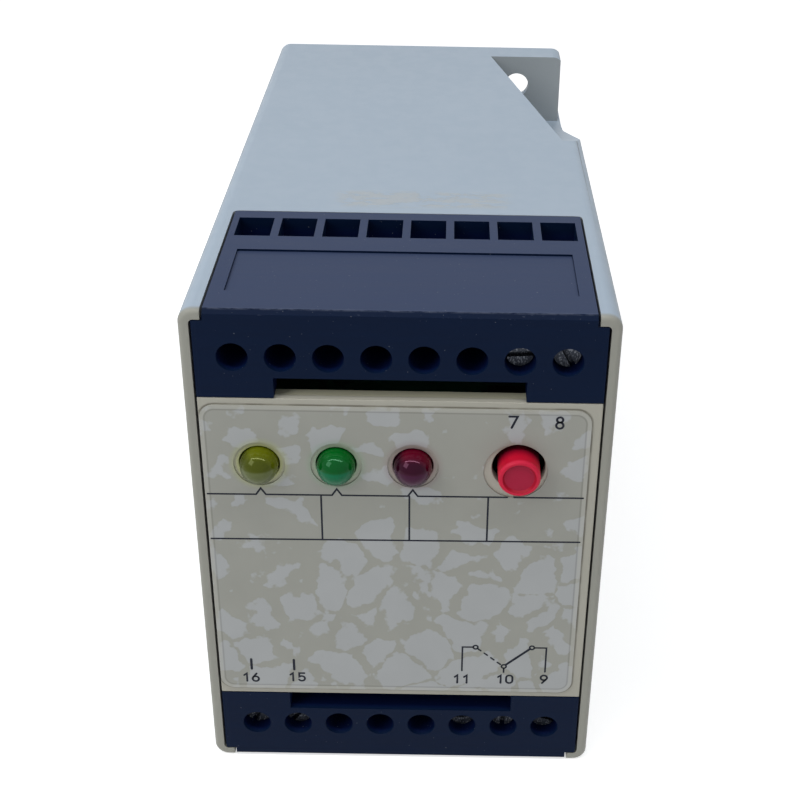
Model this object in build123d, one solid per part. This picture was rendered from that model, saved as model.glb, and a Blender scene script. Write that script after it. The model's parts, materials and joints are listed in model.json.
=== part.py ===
from build123d import *
from math import atan2, cos, radians, sin, sqrt, tan
import os

# Leak detection controller in a rail-mounted case, with two terminal blocks and three lamps.
# Millimetres. +X is to the right, +Y runs from the front into the case, +Z is up.
# The origin is the middle of the base: the case stands on its lower narrow side.

# Case
case_width = 55.0
case_height = 75.0
case_depth = 110.0
side_draft = 0.5            # lean of each side wall over the whole depth
wall = 1.4
rear_wall = 2.0
long_edge_radius = 2.0
rear_edge_radius = 1.2
front_edge_radius = 0.7
notch_corner_radius = 0.8
base_height = 6.7           # depth of the hollow base behind the rear wall
rib_reach = 1.2             # guide ribs for the boards
rib_thickness = 1.3
rib_start = 34.0
rib_gap = 0.1               # board to rib
rib_root = 0.3              # how deep a rib starts inside the wall

# Screw lugs and the corner recesses that give a driver its way to them
lug_wall = 1.8
lug_hole_diameter = 4.5
lug_hole_side = 9.2         # hole centre from the case's side
lug_hole_edge = 5.5         # hole centre from the case's top
lug_edge_inset = 0.5        # lug's outer edge from the case's side
lug_width = 14.2            # recess width at the lug
recess_mouth = 3.6          # recess width where it leaves the top
recess_length = 43.7
recess_depth = 12.6
recess_floor = 5.0          # flat run in front of the lug
recess_radius = 30.0

# Mounting rail, its hook and its latch
rail_width = 35.0
rail_gap = 0.3
rail_lip_space = 1.5
hook_reach = 1.5
hook_thickness = 2.2
hook_width = 17.0
hook_root = 6.0
latch_width = 12.0
latch_flange = 2.4
latch_flange_thickness = 2.0
latch_gap = 0.25
latch_recess = 3.6          # latch end above the case's underside
latch_foot = 2.4
latch_bar = 3.0             # latch body above its window
latch_window_width = 5.2
latch_stop = 1.2
latch_spring_diameter = 3.4
latch_spring_wire = 0.5
latch_spring_turns = 4.0
latch_spring_inset = 0.5
latch_peg_reach = 4.4
latch_slot_thickness = 2.0
latch_slot_height = 1.4

# Terminal blocks
terminal_pitch = 6.0
screw_hole_diameter = 4.0
screw_hole_edge = 6.65      # hole centre from the block's outer face
entry_width = 4.87
entry_length = 5.9
entry_start = 21.7
pad_margin = 3.15           # case side to the block's raised pad
pad_length = 29.85
pad_gap = 0.3
pad_chamfer = 0.6
block_tuck = 1.6            # how far the block runs on under the case wall
side_gap = 0.3
wall_gap = 0.15
front_wall = 3.4
notch_half_width = 16.0
notch_height = 2.9
label_field_start = 5.35
label_field_length = 12.05
label_field_margin = 2.0
label_field_depth = 0.3
solder_gap = 0.9
chamber_floor = 0.9
block_foot_gap = 0.5        # board guides to the block's feet

# Terminal screws and sleeves
screw_head_diameter = 3.45
screw_head_height = 1.5
screw_head_setback = 2.1
screw_slot_width = 0.7
screw_slot_depth = 0.8
screw_shank_diameter = 2.8
screw_shank_length = 20.6
sleeve_bore = 3.0
sleeve_rim = 0.95
sleeve_wall = 0.8
sleeve_gap = 0.2
sleeve_pin_width = 1.8
sleeve_pin_thickness = 0.7
pin_tail = 0.8
upper_slot_angles = [4.0, -63.0]
lower_slot_angles = [62.0, 50.0, 2.0, 88.0, -20.0]

# Front plate and label
plate_skin = 1.8
plate_gap = 0.1
plate_rim = 1.2
plate_rim_depth = 2.5
snap_rim_depth = 6.0
snap_length = 14.0
snap_reach = 0.5
snap_gap = 0.15
label_thickness = 0.2
label_left_margin = 0.1
label_right_margin = 1.3
label_end_margin = 1.0
label_corner_radius = 2.0
label_lamp_hole = 6.7
label_button_hole = 8.4
label_button_shift_x = -0.4  # the label's hole sits off the plate's hole
label_button_shift_z = -0.5

# Lamps and button
lamp_first_x = -18.35
lamp_pitch = 10.0
lamp_edge = 22.5            # lamp centres from the case's top
lamp_diameter = 5.0
lamp_length = 8.6
lamp_stand_out = 3.0
lamp_flange_diameter = 5.8
lamp_flange_height = 1.0
lamp_hole = 5.3
collar_wall = 1.1
lead_pitch = 2.54
lead_size = 0.5
spacer_diameter = 4.8
spacer_bore = 3.6
button_x = 15.43
button_diameter = 5.7
button_taper = 0.1
button_stand_out = 2.75
button_hole = 7.0
button_dish_diameter = 4.4
button_dish_depth = 0.3
button_crown = 3.0          # solid end of the cap
button_skirt = 5.0          # cap end behind the front face
button_edge = 0.25
plunger_size = 3.0
plunger_gap = 0.05
plunger_shoulder = 0.4
plunger_shoulder_height = 0.9
switch_size = 8.0
switch_length = 6.5
switch_lip = 0.8
switch_gap = 0.1
switch_bore_gap = 0.1
switch_pin_inset = 1.0
button_spring_length = 3.5
button_spring_diameter = 2.6
button_spring_wire = 0.3
button_spring_turns = 4.0

# Boards
board_thickness = 1.6
board_gap = 0.4
main_board_start = 4.0
signal_board_start = 9.0
board_tab_width = 1.2
board_tab_inset = 1.25
board_tab_setback = 1.75
display_board_start = 14.0
display_board_side_gap = 3.5
display_board_drop = 7.5
hole_allowance = 0.3        # board holes over the size of what passes through
recess_board_gap = 1.0
link_pin_count = 8
link_pin_drop = 2.0
link_pin_reach = 2.0
lead_sink = 0.4             # how far a lead starts inside a round body

# Main board components
power_side_gap = 2.9        # case wall to the row of power components
transformer_core_width = 30.0
transformer_core_height = 25.0
transformer_stack = 15.5
transformer_leg = 10.0
transformer_yoke = 5.0
transformer_base_width = 32.5
transformer_base_length = 27.5
transformer_base_height = 2.0
transformer_side_gap = 3.2
transformer_end_gap = 3.0
transformer_pins_per_side = 4
transformer_pin_pitch = 5.0
transformer_pin_inset = 1.5
bobbin_flange_inset = 0.5
bobbin_wall = 1.0
bobbin_gap = 0.15
winding_gap = 0.3
winding_radius = 2.5
relay_length = 29.0
relay_width = 12.7
relay_height = 15.7
relay_side_gap = 2.0
relay_start = 7.0
relay_edge = 0.6
relay_pin_reach = 11.0
relay_contact_x = 2.0
relay_row_pitch = 7.5
relay_vent_diameter = 1.6
relay_vent_height = 0.4
relay_vent_x = 4.0
relay_vent_y = 3.0
smoothing_diameter = 10.0
smoothing_height = 16.0
smoothing_y = 44.8
smoothing_edge = 0.6
smoothing_groove_start = 2.2
smoothing_groove_width = 0.7
smoothing_groove_depth = 0.4
rectifier_diameter = 9.0
rectifier_height = 5.5
rectifier_y = 35.0
rectifier_stand = 1.0
rectifier_flat = 0.6
regulator_width = 10.0
regulator_y = 29.7
regulator_side_gap = 2.4
regulator_thickness = 4.4
regulator_height = 15.4
regulator_stand = 3.0
regulator_body_height = 9.2
regulator_tab_thickness = 1.3
regulator_hole = 3.6
regulator_hole_height = 12.3
film_length = 13.0
film_width = 5.0
film_height = 11.0
film_side_gap = 2.2
film_y = 13.0
film_edge = 0.5
film_lead_pitch = 10.0
varistor_diameter = 9.0
varistor_thickness = 3.2
varistor_y = 28.6
varistor_stand = 2.0
header_length = 13.4
header_width = 5.0
header_height = 8.5
header_y = 29.7
header_columns = 5
ribbon_width = 12.7
ribbon_thickness = 0.9
ribbon_run = 3.0
ribbon_bulge = 6.0
ribbon_bend_radius = 4.0
wire_lead = 0.6

# Signal board components
chip_length = 19.3
chip_width = 6.4
chip_height = 3.4
chip_stand = 0.5
chip_row_pitch = 7.62
chip_legs_per_side = 7
chip_leg_width = 1.2
chip_leg_thickness = 0.3
chip_notch_diameter = 1.8
chip_notch_depth = 0.6
chip_x = 8.0
chip_y = 56.0
resistor_length = 6.3
resistor_diameter = 2.3
resistor_lead_span = 10.16
resistor_pitch = 3.4
resistor_count = 7
resistor_x = -12.0
resistor_y = 34.0
diode_length = 4.6
diode_diameter = 2.4
diode_x = 4.0
diode_y = 38.0
diode_pitch = 4.0
diode_count = 2
ceramic_diameter = 4.6
ceramic_thickness = 2.2
ceramic_stand = 1.2
ceramic_side_gap = 3.2
ceramic_y = 36.0
ceramic_pitch = 5.0
ceramic_count = 3
transistor_diameter = 4.6
transistor_height = 4.8
transistor_stand = 2.0
transistor_x = 4.0
transistor_y = 48.0
transistor_flat = 1.3
transistor_lead_pitch = 1.27

# Places that follow from the sizes above
stand_out = max(lamp_stand_out, button_stand_out)
front = (stand_out - case_depth) / 2
back = front + case_depth
rail_plane = back - base_height
cavity_end = rail_plane - rear_wall
middle = case_height / 2

sleeve_half_height = sleeve_bore / 2 + sleeve_rim
block_height = screw_hole_edge + sleeve_half_height + chamber_floor + solder_gap + board_thickness
pad_half_width = case_width / 2 - pad_margin
notch_half = pad_half_width + pad_gap
terminal_count = int((2 * pad_half_width - (entry_width - terminal_pitch)) / terminal_pitch)
screw_z = case_height - screw_hole_edge
block_inner_z = case_height - block_height
solder_face_z = block_inner_z + board_thickness
chamber_z = screw_z - sleeve_half_height

lamp_z = case_height - lamp_edge
lamp_xs = [lamp_first_x + index * lamp_pitch for index in range(3)]
lamp_back = front - lamp_stand_out + lamp_length
main_face_z = block_height
signal_face_z = block_inner_z

terminal_xs = [(index - (terminal_count - 1) / 2) * terminal_pitch for index in range(terminal_count)]
upper_screw_xs = terminal_xs[-2:]
lower_screw_xs = terminal_xs[:2] + terminal_xs[-3:]


def half_width(y):
    """Half the case's width at a depth, as the sides lean in towards the rear."""
    return case_width / 2 - side_draft * (y - front) / case_depth


# General shapes

def slab(x0, x1, y0, y1, z0, z1):
    """A box from its limits."""
    centre = Pos((x0 + x1) / 2, (y0 + y1) / 2, (z0 + z1) / 2)
    return centre * Box(x1 - x0, y1 - y0, z1 - z0)


def rod_y(x, z, y0, y1, diameter):
    return Pos(x, (y0 + y1) / 2, z) * Rot(90, 0, 0) * Cylinder(diameter / 2, y1 - y0)


def rod_z(x, y, z0, z1, diameter):
    return Pos(x, y, (z0 + z1) / 2) * Cylinder(diameter / 2, z1 - z0)


def prism_x(points, x0, x1):
    """A profile of (y, z) points, run along X."""
    face = make_face(Polyline(*[(x0, y, z) for y, z in points], close=True))
    return extrude(face, x1 - x0, dir=(1, 0, 0))


def prism_z(points, z0, z1):
    """A plan of (x, y) points, run along Z."""
    face = make_face(Polyline(*[(x, y, z0) for x, y in points], close=True))
    return extrude(face, z1 - z0, dir=(0, 0, 1))


def turned(shape):
    """The same shape turned over about the case's long axis, from the top to the underside."""
    return shape.rotate(Axis((0, 0, middle), (0, 1, 0)), 180)


def coil(diameter, wire, length, turns):
    """A compression spring along Z, standing on the origin."""
    pitch = (length - wire) / turns
    radius = (diameter - wire) / 2
    path = Pos(0, 0, wire / 2) * Helix(pitch, length - wire, radius)
    section = Plane(path @ 0, z_dir=path % 0) * RegularPolygon(wire / 2, 6)
    return sweep(section, path=path)


def save(name, *solids):
    """Write one node: a single solid, or a group of separate ones."""
    flat = [solid for shape in solids for solid in shape.solids()]
    shape = flat[0] if len(flat) == 1 else Compound(children=flat)
    export_step(shape, f"parts/{name}.step")


# Housing

def case_outline(inset, y0, y1, z0, z1, radius):
    """A length of the leaning case outline, set in on each side, with its long edges rounded."""
    plan = [
        (inset - half_width(y0), y0), (half_width(y0) - inset, y0),
        (half_width(y1) - inset, y1), (inset - half_width(y1), y1),
    ]
    body = prism_z(plan, z0, z1)
    if radius == 0:
        return body
    long_edges = body.edges().filter_by(lambda edge: edge.bounding_box().size.Y > 0.9 * (y1 - y0))
    return fillet(long_edges, radius)


def corner_recess(skin):
    """The space of the top right corner recess, or with a skin the recess and its walls."""
    lug_y = rail_plane
    mouth_y = lug_y - recess_length
    slope = recess_depth / (recess_length - recess_floor)
    angle = atan2(recess_depth, recess_length - recess_floor)
    floor_z = case_height - recess_depth - skin
    line_z = case_height - skin / cos(angle)
    foot_y = mouth_y + (line_z - floor_z) / slope
    high_z = case_height + 1
    top_y = mouth_y - (high_z - line_z) / slope
    profile = prism_x([(top_y, high_z), (foot_y, floor_z), (lug_y, floor_z), (lug_y, high_z)],
                      -case_width, case_width)
    foot = profile.edges().filter_by(Axis.X).sort_by_distance((0, foot_y, floor_z))[0]
    longest = 0.9 * (lug_y - foot_y) / tan(angle / 2)
    profile = fillet(foot, min(recess_radius + skin, longest))

    rear_x = case_width / 2 - lug_width
    mouth_x = case_width / 2 - recess_mouth
    lean = (rear_x - mouth_x) / recess_length
    shift = skin * (1 + lean ** 2) ** 0.5
    start_y = mouth_y - 4 * skin - 1
    plan = prism_z([
        (rear_x - shift, lug_y), (mouth_x - shift + lean * (start_y - mouth_y), start_y),
        (case_width, start_y), (case_width, lug_y),
    ], 0, high_z)
    return profile & plan


def rail_hook():
    """The fixed nose over the rail's upper lip, with a sloped way in behind it."""
    slot_top = middle + rail_width / 2 + rail_gap
    nose_z = middle + rail_width / 2 - hook_reach
    nose_y = rail_plane + rail_lip_space
    return prism_x([
        (nose_y, slot_top + 1), (nose_y, nose_z), (nose_y + hook_thickness, nose_z),
        (back, slot_top), (back, slot_top + 1),
    ], -hook_width / 2, hook_width / 2)


def latch_channel():
    """The guideway of the rail latch, open to the rail, to the rear and to the underside."""
    slot_low = middle - rail_width / 2 - rail_gap
    half = latch_width / 2 + latch_gap
    wide = half + latch_flange
    flange_end = rail_plane + latch_flange_thickness + 2 * latch_gap
    return [
        slab(-wide, wide, rail_plane, flange_end, -1, slot_low + 1),
        slab(-half, half, flange_end - 0.01, back + 1, -1, slot_low + 1),
    ]


def base_hollows():
    """Hollows open to the rear: two beside the hook and latch blocks, and one in the hook block."""
    slot_top = middle + rail_width / 2 + rail_gap
    inner = half_width(back) - wall
    block_half = latch_width / 2 + latch_gap + latch_flange + wall
    top = case_height - wall
    left = slab(-inner, -block_half, rail_plane, back + 1, slot_top + wall, top)
    lug = slab(block_half, inner, rail_plane + lug_wall, back + 1, slot_top + wall, top)
    hook = slab(-hook_width / 2, hook_width / 2, rail_plane, back + 1, slot_top + hook_root, top)
    return [left, lug, hook, turned(left), turned(lug)]


def board_guides():
    """Two pairs of ribs on the side walls for each board."""
    guides = []
    for face_z in (solder_face_z - board_thickness, solder_face_z):
        below = face_z < solder_face_z
        low_z = face_z - rib_thickness - rib_gap if below else face_z + rib_gap
        strip = case_outline(wall - rib_root, front + rib_start, guide_end_y(),
                             low_z, low_z + rib_thickness, 0)
        inside = case_outline(wall + rib_reach, front + rib_start - 1, guide_end_y() + 1,
                              low_z - 1, low_z + rib_thickness + 1, 0)
        rib = strip - inside
        guides += [rib, turned(rib)]
    return guides


def guide_end_y():
    """Where the boards and their guides stop, short of the walls of the corner recesses."""
    slope = recess_depth / (recess_length - recess_floor)
    clear_depth = block_height - board_thickness - rib_thickness - wall - recess_board_gap
    return rail_plane - recess_length + clear_depth / slope


def housing():
    body = case_outline(0, front, back, 0, case_height, long_edge_radius)
    body = fillet(body.edges().group_by(Axis.Y)[-1], rear_edge_radius)
    body = fillet(body.edges().group_by(Axis.Y)[0], front_edge_radius)

    cavity = case_outline(wall, front - 1, cavity_end, wall, case_height - wall, long_edge_radius - wall)
    skin = corner_recess(wall)
    body -= cavity - skin - turned(skin)

    recess = corner_recess(0)
    body -= [recess, turned(recess)]

    notch = slab(-notch_half, notch_half, front - 1, front + pad_length + pad_gap / 2,
                 case_height - wall - long_edge_radius, case_height + 1)
    notch = fillet(notch.edges().filter_by(Axis.Z).group_by(Axis.Y)[-1], notch_corner_radius)
    body -= [notch, turned(notch)]

    slot_half = rail_width / 2 + rail_gap
    body -= slab(-case_width, case_width, rail_plane, back + 1, middle - slot_half, middle + slot_half)
    body -= base_hollows()
    body -= latch_channel()
    body += [rail_hook(), latch_peg()]

    hole_x = case_width / 2 - lug_hole_side
    lug_hole = rod_y(hole_x, case_height - lug_hole_edge, rail_plane - 1, back + 1, lug_hole_diameter)
    body -= [lug_hole, turned(lug_hole)]

    lug_edge = slab(half_width(back) - lug_edge_inset, case_width, rail_plane, back + 1,
                    case_height - recess_depth, case_height + 1)
    body -= [lug_edge, turned(lug_edge)]

    snap_y = front + snap_rim_depth / 2 - snap_gap
    for side in (-1, 1):
        inner_x = side * (half_width(front) - wall)
        socket = slab(inner_x - snap_reach, inner_x + snap_reach, snap_y, front + snap_rim_depth,
                      middle - snap_length / 2 - snap_gap, middle + snap_length / 2 + snap_gap)
        body -= socket
    return body + board_guides()


# Rail latch

def latch_levels():
    """Heights of the latch window and of the case's stop in it, from low to high, and the body's top."""
    window_low = latch_recess + latch_foot
    stop_low = window_low + rail_gap
    body_top = middle - rail_width / 2 - rail_gap
    return window_low, stop_low, stop_low + latch_stop, body_top - latch_bar, body_top


def latch_peg():
    """The stop on the rear wall that the latch spring stands on."""
    _, stop_low, stop_high, _, _ = latch_levels()
    half = latch_window_width / 2 - latch_gap
    return slab(-half, half, rail_plane - 0.5, rail_plane + latch_peg_reach, stop_low, stop_high)


def rail_latch():
    window_low, _, _, window_high, body_top = latch_levels()
    rear_face = rail_plane + latch_gap
    nose_top = middle - rail_width / 2 + hook_reach
    nose_y = rail_plane + rail_lip_space
    body = prism_x([
        (rear_face, latch_recess), (back - latch_gap, latch_recess), (back - latch_gap, body_top),
        (nose_y + hook_thickness, nose_top), (nose_y, nose_top), (nose_y, body_top),
        (rear_face, body_top),
    ], -latch_width / 2, latch_width / 2)
    flange_half = latch_width / 2 + latch_flange
    flange = slab(-flange_half, flange_half, rear_face, rear_face + latch_flange_thickness,
                  latch_recess, body_top)
    window = slab(-latch_window_width / 2, latch_window_width / 2, rear_face - 1, back,
                  window_low, window_high)
    slot_end = back - latch_gap - latch_slot_thickness
    driver_slot = slab(-latch_window_width / 2, latch_window_width / 2, slot_end - latch_slot_thickness,
                       slot_end, latch_recess - 1, latch_recess + latch_slot_height)
    return body + flange - window - driver_slot


def latch_spring():
    _, _, stop_high, window_high, _ = latch_levels()
    spring = coil(latch_spring_diameter, latch_spring_wire, window_high - stop_high, latch_spring_turns)
    spring_y = rail_plane + latch_gap + latch_spring_inset + latch_spring_diameter / 2
    return Pos(0, spring_y, stop_high) * spring


# Terminal blocks

def terminal_block():
    """The upper block: screws from the front, wires from the top, pins down into its board."""
    half = half_width(front) - wall - side_gap
    shoulder_z = case_height - wall - wall_gap
    rear = front + pad_length
    half_rear = half_width(rear + block_tuck) - wall - side_gap
    body = prism_z([(-half, front), (half, front), (half_rear, rear + block_tuck),
                    (-half_rear, rear + block_tuck)], block_inner_z, shoulder_z)
    pad = slab(-pad_half_width, pad_half_width, front, rear, shoulder_z - 1, case_height)
    body += pad
    lip = body.edges().filter_by(Axis.X).sort_by_distance((0, front, case_height))[0]
    body = chamfer(lip, pad_chamfer)

    underside = chamber_z - chamber_floor
    foot_half = half_rear - rib_reach - block_foot_gap
    inner_y, end_y = front + front_wall, rear + 2 * block_tuck
    body -= [
        slab(-foot_half, foot_half, inner_y, end_y, block_inner_z - 1, underside),
        slab(-half - 1, half + 1, inner_y, end_y, block_inner_z - 1, solder_face_z),
        slab(-notch_half_width, notch_half_width, front - 1, front + front_wall + 1,
             block_inner_z - 1, block_inner_z + notch_height),
        slab(label_field_margin - pad_half_width, pad_half_width - label_field_margin,
             front + label_field_start, front + label_field_start + label_field_length,
             case_height - label_field_depth, case_height + 1),
    ]
    entry_y = front + entry_start
    pin_y = entry_y + entry_length / 2
    pin_half = (sleeve_pin_width + hole_allowance) / 2
    for x in terminal_xs:
        body -= [
            rod_y(x, screw_z, front - 1, entry_y + 1, screw_hole_diameter),
            slab(x - entry_width / 2, x + entry_width / 2, entry_y, entry_y + entry_length,
                 chamber_z, case_height + 1),
            slab(x - pin_half, x + pin_half, pin_y - sleeve_pin_thickness, pin_y + sleeve_pin_thickness,
                 underside - 1, chamber_z + 1),
        ]
    return body


def terminal_screw(x, slot_angle):
    """A slotted clamping screw, backed off so that its head stands behind the front face."""
    head_y = front + screw_head_setback
    head = rod_y(x, screw_z, head_y, head_y + screw_head_height, screw_head_diameter)
    shank_y = head_y + screw_head_height
    shank = rod_y(x, screw_z, shank_y, shank_y + screw_shank_length, screw_shank_diameter)
    slot = Pos(x, head_y, screw_z) * Rot(0, -slot_angle, 0) * Box(
        2 * screw_head_diameter, 2 * screw_slot_depth, screw_slot_width)
    return head + shank - slot


def terminal_sleeve(x):
    """The brass cage that the screw runs in, with its solder pin."""
    half = entry_width / 2 - sleeve_gap
    y0 = front + entry_start + sleeve_gap
    y1 = y0 + entry_length - 2 * sleeve_gap
    top = screw_z + sleeve_half_height
    body = slab(x - half, x + half, y0, y1, chamber_z, top)
    body -= slab(x - half + sleeve_wall, x + half - sleeve_wall, y0 + sleeve_wall, y1 - sleeve_wall,
                 chamber_z + sleeve_wall, top + 1)
    body -= rod_y(x, screw_z, y0 - 1, y0 + sleeve_wall + 1, sleeve_bore)
    pin_y = (y0 + y1) / 2
    pin = slab(x - sleeve_pin_width / 2, x + sleeve_pin_width / 2, pin_y - sleeve_pin_thickness / 2,
               pin_y + sleeve_pin_thickness / 2, signal_face_z - pin_tail, chamber_z)
    return body + pin


# Front plate, label, lamps and button

def front_plate():
    half = half_width(front) - wall - side_gap
    low, high = main_face_z + plate_gap, signal_face_z - plate_gap
    body = slab(-half, half, front, front + plate_rim_depth, low, high)
    for side in (-1, 1):
        edge_x = side * half
        inner_x = edge_x - side * plate_rim
        body += slab(min(edge_x, inner_x), max(edge_x, inner_x), front, front + snap_rim_depth,
                     low + 2 * plate_rim, high - 2 * plate_rim)
        nose = prism_z([(edge_x - side * 0.1, front + snap_rim_depth / 2),
                        (edge_x + side * (side_gap + snap_reach - snap_gap), front + snap_rim_depth / 2),
                        (edge_x - side * 0.1, front + snap_rim_depth - snap_gap)],
                       middle - snap_length / 2, middle + snap_length / 2)
        body += nose
    body -= slab(plate_rim - half, half - plate_rim, front + plate_skin, front + plate_rim_depth,
                 low + plate_rim, high - plate_rim)
    collar_end = lamp_back - lamp_flange_height
    for x in lamp_xs:
        body += rod_y(x, lamp_z, front + plate_skin - 0.1, collar_end, lamp_hole + 2 * collar_wall)
        body -= rod_y(x, lamp_z, front - 1, collar_end + 1, lamp_hole)
    return body - rod_y(button_x, lamp_z, front - 1, front + plate_skin + 1, button_hole)


def front_label():
    half = half_width(front) - wall - side_gap
    left, right = label_left_margin - half, half - label_right_margin
    low, high = main_face_z + plate_gap + label_end_margin, signal_face_z - plate_gap - label_end_margin
    film = slab(left, right, front - label_thickness, front, low, high)
    film = fillet(film.edges().filter_by(Axis.Y), label_corner_radius)
    for x in lamp_xs:
        film -= rod_y(x, lamp_z, front - 1, front + 1, label_lamp_hole)
    return film - rod_y(button_x + label_button_shift_x, lamp_z + label_button_shift_z,
                        front - 1, front + 1, label_button_hole)


def lamp(x):
    """A domed 5 mm lamp with its flange against the rear of the collar."""
    radius = lamp_diameter / 2
    tip = front - lamp_stand_out
    profile = make_face([
        ThreePointArc((0, tip, 0), (radius * sin(radians(45)), tip + radius * (1 - cos(radians(45))), 0),
                      (radius, tip + radius, 0)),
        Polyline((radius, tip + radius, 0), (radius, lamp_back - lamp_flange_height, 0),
                 (lamp_flange_diameter / 2, lamp_back - lamp_flange_height, 0),
                 (lamp_flange_diameter / 2, lamp_back, 0), (0, lamp_back, 0), (0, tip, 0)),
    ])
    return Pos(x, 0, lamp_z) * revolve(profile, Axis.Y)


def lamp_leads(x):
    """Two straight leads through the display board."""
    end = front + display_board_start + board_thickness + pin_tail
    return [slab(x + side * lead_pitch / 2 - lead_size / 2, x + side * lead_pitch / 2 + lead_size / 2,
                 lamp_back, end, lamp_z - lead_size / 2, lamp_z + lead_size / 2) for side in (-1, 1)]


def lamp_spacer(x):
    tube = rod_y(x, lamp_z, lamp_back, front + display_board_start, spacer_diameter)
    return tube - rod_y(x, lamp_z, lamp_back - 1, front + display_board_start + 1, spacer_bore)


def button_cap():
    """Round cap with a raised rim, a dished end and a square socket for the plunger."""
    radius = button_diameter / 2
    tip, end = front - button_stand_out, front + button_skirt
    dish_y, dish_radius = tip + button_dish_depth, button_dish_diameter / 2
    profile = make_face(Polyline(
        (0, dish_y, 0), (dish_radius - button_edge, dish_y, 0), (dish_radius, tip, 0),
        (radius - button_taper - button_edge, tip, 0),
        (radius - button_taper, tip + button_edge, 0), (radius, end, 0), (0, end, 0), close=True))
    cap = Pos(button_x, 0, lamp_z) * revolve(profile, Axis.Y)
    socket = plunger_size / 2 + plunger_gap
    return cap - slab(button_x - socket, button_x + socket, tip + button_crown, end + 1,
                      lamp_z - socket, lamp_z + socket)


def square_y(size, y0, y1):
    """A square bar on the button's axis."""
    return slab(button_x - size / 2, button_x + size / 2, y0, y1, lamp_z - size / 2, lamp_z + size / 2)


def switch_front():
    return front + display_board_start - switch_length


def plunger_end():
    """Rear end of the plunger at rest, behind its shoulder."""
    return switch_front() + switch_lip + switch_gap + plunger_shoulder_height


def button_plunger():
    shoulder = square_y(plunger_size + 2 * plunger_shoulder, plunger_end() - plunger_shoulder_height,
                        plunger_end())
    return square_y(plunger_size, front - button_stand_out + button_crown, plunger_end()) + shoulder


def button_switch():
    body = square_y(switch_size, switch_front(), front + display_board_start)
    bore = plunger_size + 2 * switch_bore_gap
    chamber = plunger_size + 2 * plunger_shoulder + 2 * switch_bore_gap
    chamber_end = plunger_end() + button_spring_length
    body -= square_y(bore, switch_front() - 1, switch_front() + switch_lip + 1)
    return body - square_y(chamber, switch_front() + switch_lip, chamber_end)


def button_spring():
    spring = coil(button_spring_diameter, button_spring_wire, button_spring_length, button_spring_turns)
    return Pos(button_x, plunger_end(), lamp_z) * Rot(-90, 0, 0) * spring


def switch_pins():
    """Four pins at the switch's corners, through the display board."""
    reach = switch_size / 2 - switch_pin_inset
    end = front + display_board_start + board_thickness + pin_tail
    return [slab(button_x + dx - lead_size / 2, button_x + dx + lead_size / 2, front + display_board_start,
                 end, lamp_z + dz - lead_size / 2, lamp_z + dz + lead_size / 2)
            for dx in (-reach, reach) for dz in (-reach, reach)]


# Boards

def display_board():
    """The upright board behind the front plate, with the lamps and the button's switch."""
    y0 = front + display_board_start
    half = inner_half(y0) - display_board_side_gap
    board = slab(-half, half, y0, y0 + board_thickness, lamp_z - display_board_drop, signal_face_z)
    for pin in [lead for x in lamp_xs for lead in lamp_leads(x)] + switch_pins() + link_pins():
        place = pin.bounding_box().center() if pin.bounding_box().size.Z < 1 else pin_start(pin)
        half = (lead_size + hole_allowance) / 2
        board -= slab(place.X - half, place.X + half, y0 - 1, y0 + board_thickness + 1,
                      place.Z - half, place.Z + half)
    return board


def link_pins():
    """Angled pins that carry the display board's signals up to the signal board."""
    pins = []
    y0 = front + display_board_start - pin_tail / 2
    y1 = front + display_board_start + board_thickness + link_pin_reach
    z0 = signal_face_z - link_pin_drop
    for index in range(link_pin_count):
        x = (index - (link_pin_count - 1) / 2) * lead_pitch
        low = slab(x - lead_size / 2, x + lead_size / 2, y0, y1, z0 - lead_size / 2, z0 + lead_size / 2)
        high = slab(x - lead_size / 2, x + lead_size / 2, y1 - lead_size, y1, z0, solder_face_z + pin_tail)
        pins.append(low + high)
    return pins


def pin_start(pin):
    """The middle of an angled pin's front end."""
    return pin.faces().sort_by(Axis.Y)[0].center()


def board_plan():
    """Half width and end of both boards."""
    return half_width(guide_end_y()) - wall - board_gap, guide_end_y()


def inner_half(y):
    """Half the width between the case's side walls."""
    return half_width(y) - wall


def pierced(board, leads):
    """A board with a square hole for each lead that passes through it."""
    box = board.bounding_box()
    top = box.center().Z > middle
    for lead in leads:
        tip = lead.faces().sort_by(Axis.Z)[-1 if top else 0].bounding_box()
        half = max(tip.size.X, tip.size.Y) / 2 + hole_allowance / 2
        place = tip.center()
        board -= slab(place.X - half, place.X + half, place.Y - half, place.Y + half,
                      box.min.Z - 1, box.max.Z + 1)
    return board


def main_board(leads):
    """The lower board. Its tab shows in the lower block's notch."""
    half, y1 = board_plan()
    y0 = front + main_board_start
    z0 = main_face_z - board_thickness
    board = slab(-half, half, y0, y1, z0, main_face_z)
    tab_x = board_tab_inset - notch_half_width
    board += slab(tab_x, tab_x + board_tab_width, front + board_tab_setback, y0 + 1, z0, main_face_z)
    for sleeve_x in lower_screw_xs:
        board -= turned(sleeve_slot(-sleeve_x))
    return pierced(board, leads)


def signal_board(leads):
    half, y1 = board_plan()
    board = slab(-half, half, front + signal_board_start, y1, signal_face_z, solder_face_z)
    for sleeve_x in upper_screw_xs:
        board -= sleeve_slot(sleeve_x)
    return pierced(board, leads)


def sleeve_slot(x):
    """The way of a sleeve's pin through its board."""
    y = front + entry_start + entry_length / 2
    half_x = (sleeve_pin_width + hole_allowance) / 2
    half_y = (sleeve_pin_thickness + hole_allowance) / 2
    return slab(x - half_x, x + half_x, y - half_y, y + half_y, signal_face_z - 1, solder_face_z + 1)


# Main board components

def leads_down(places, top, size):
    """Square leads from a component's underside through the main board."""
    low = main_face_z - board_thickness - pin_tail
    return [slab(x - size / 2, x + size / 2, y - size / 2, y + size / 2, low, top) for x, y in places]


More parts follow.
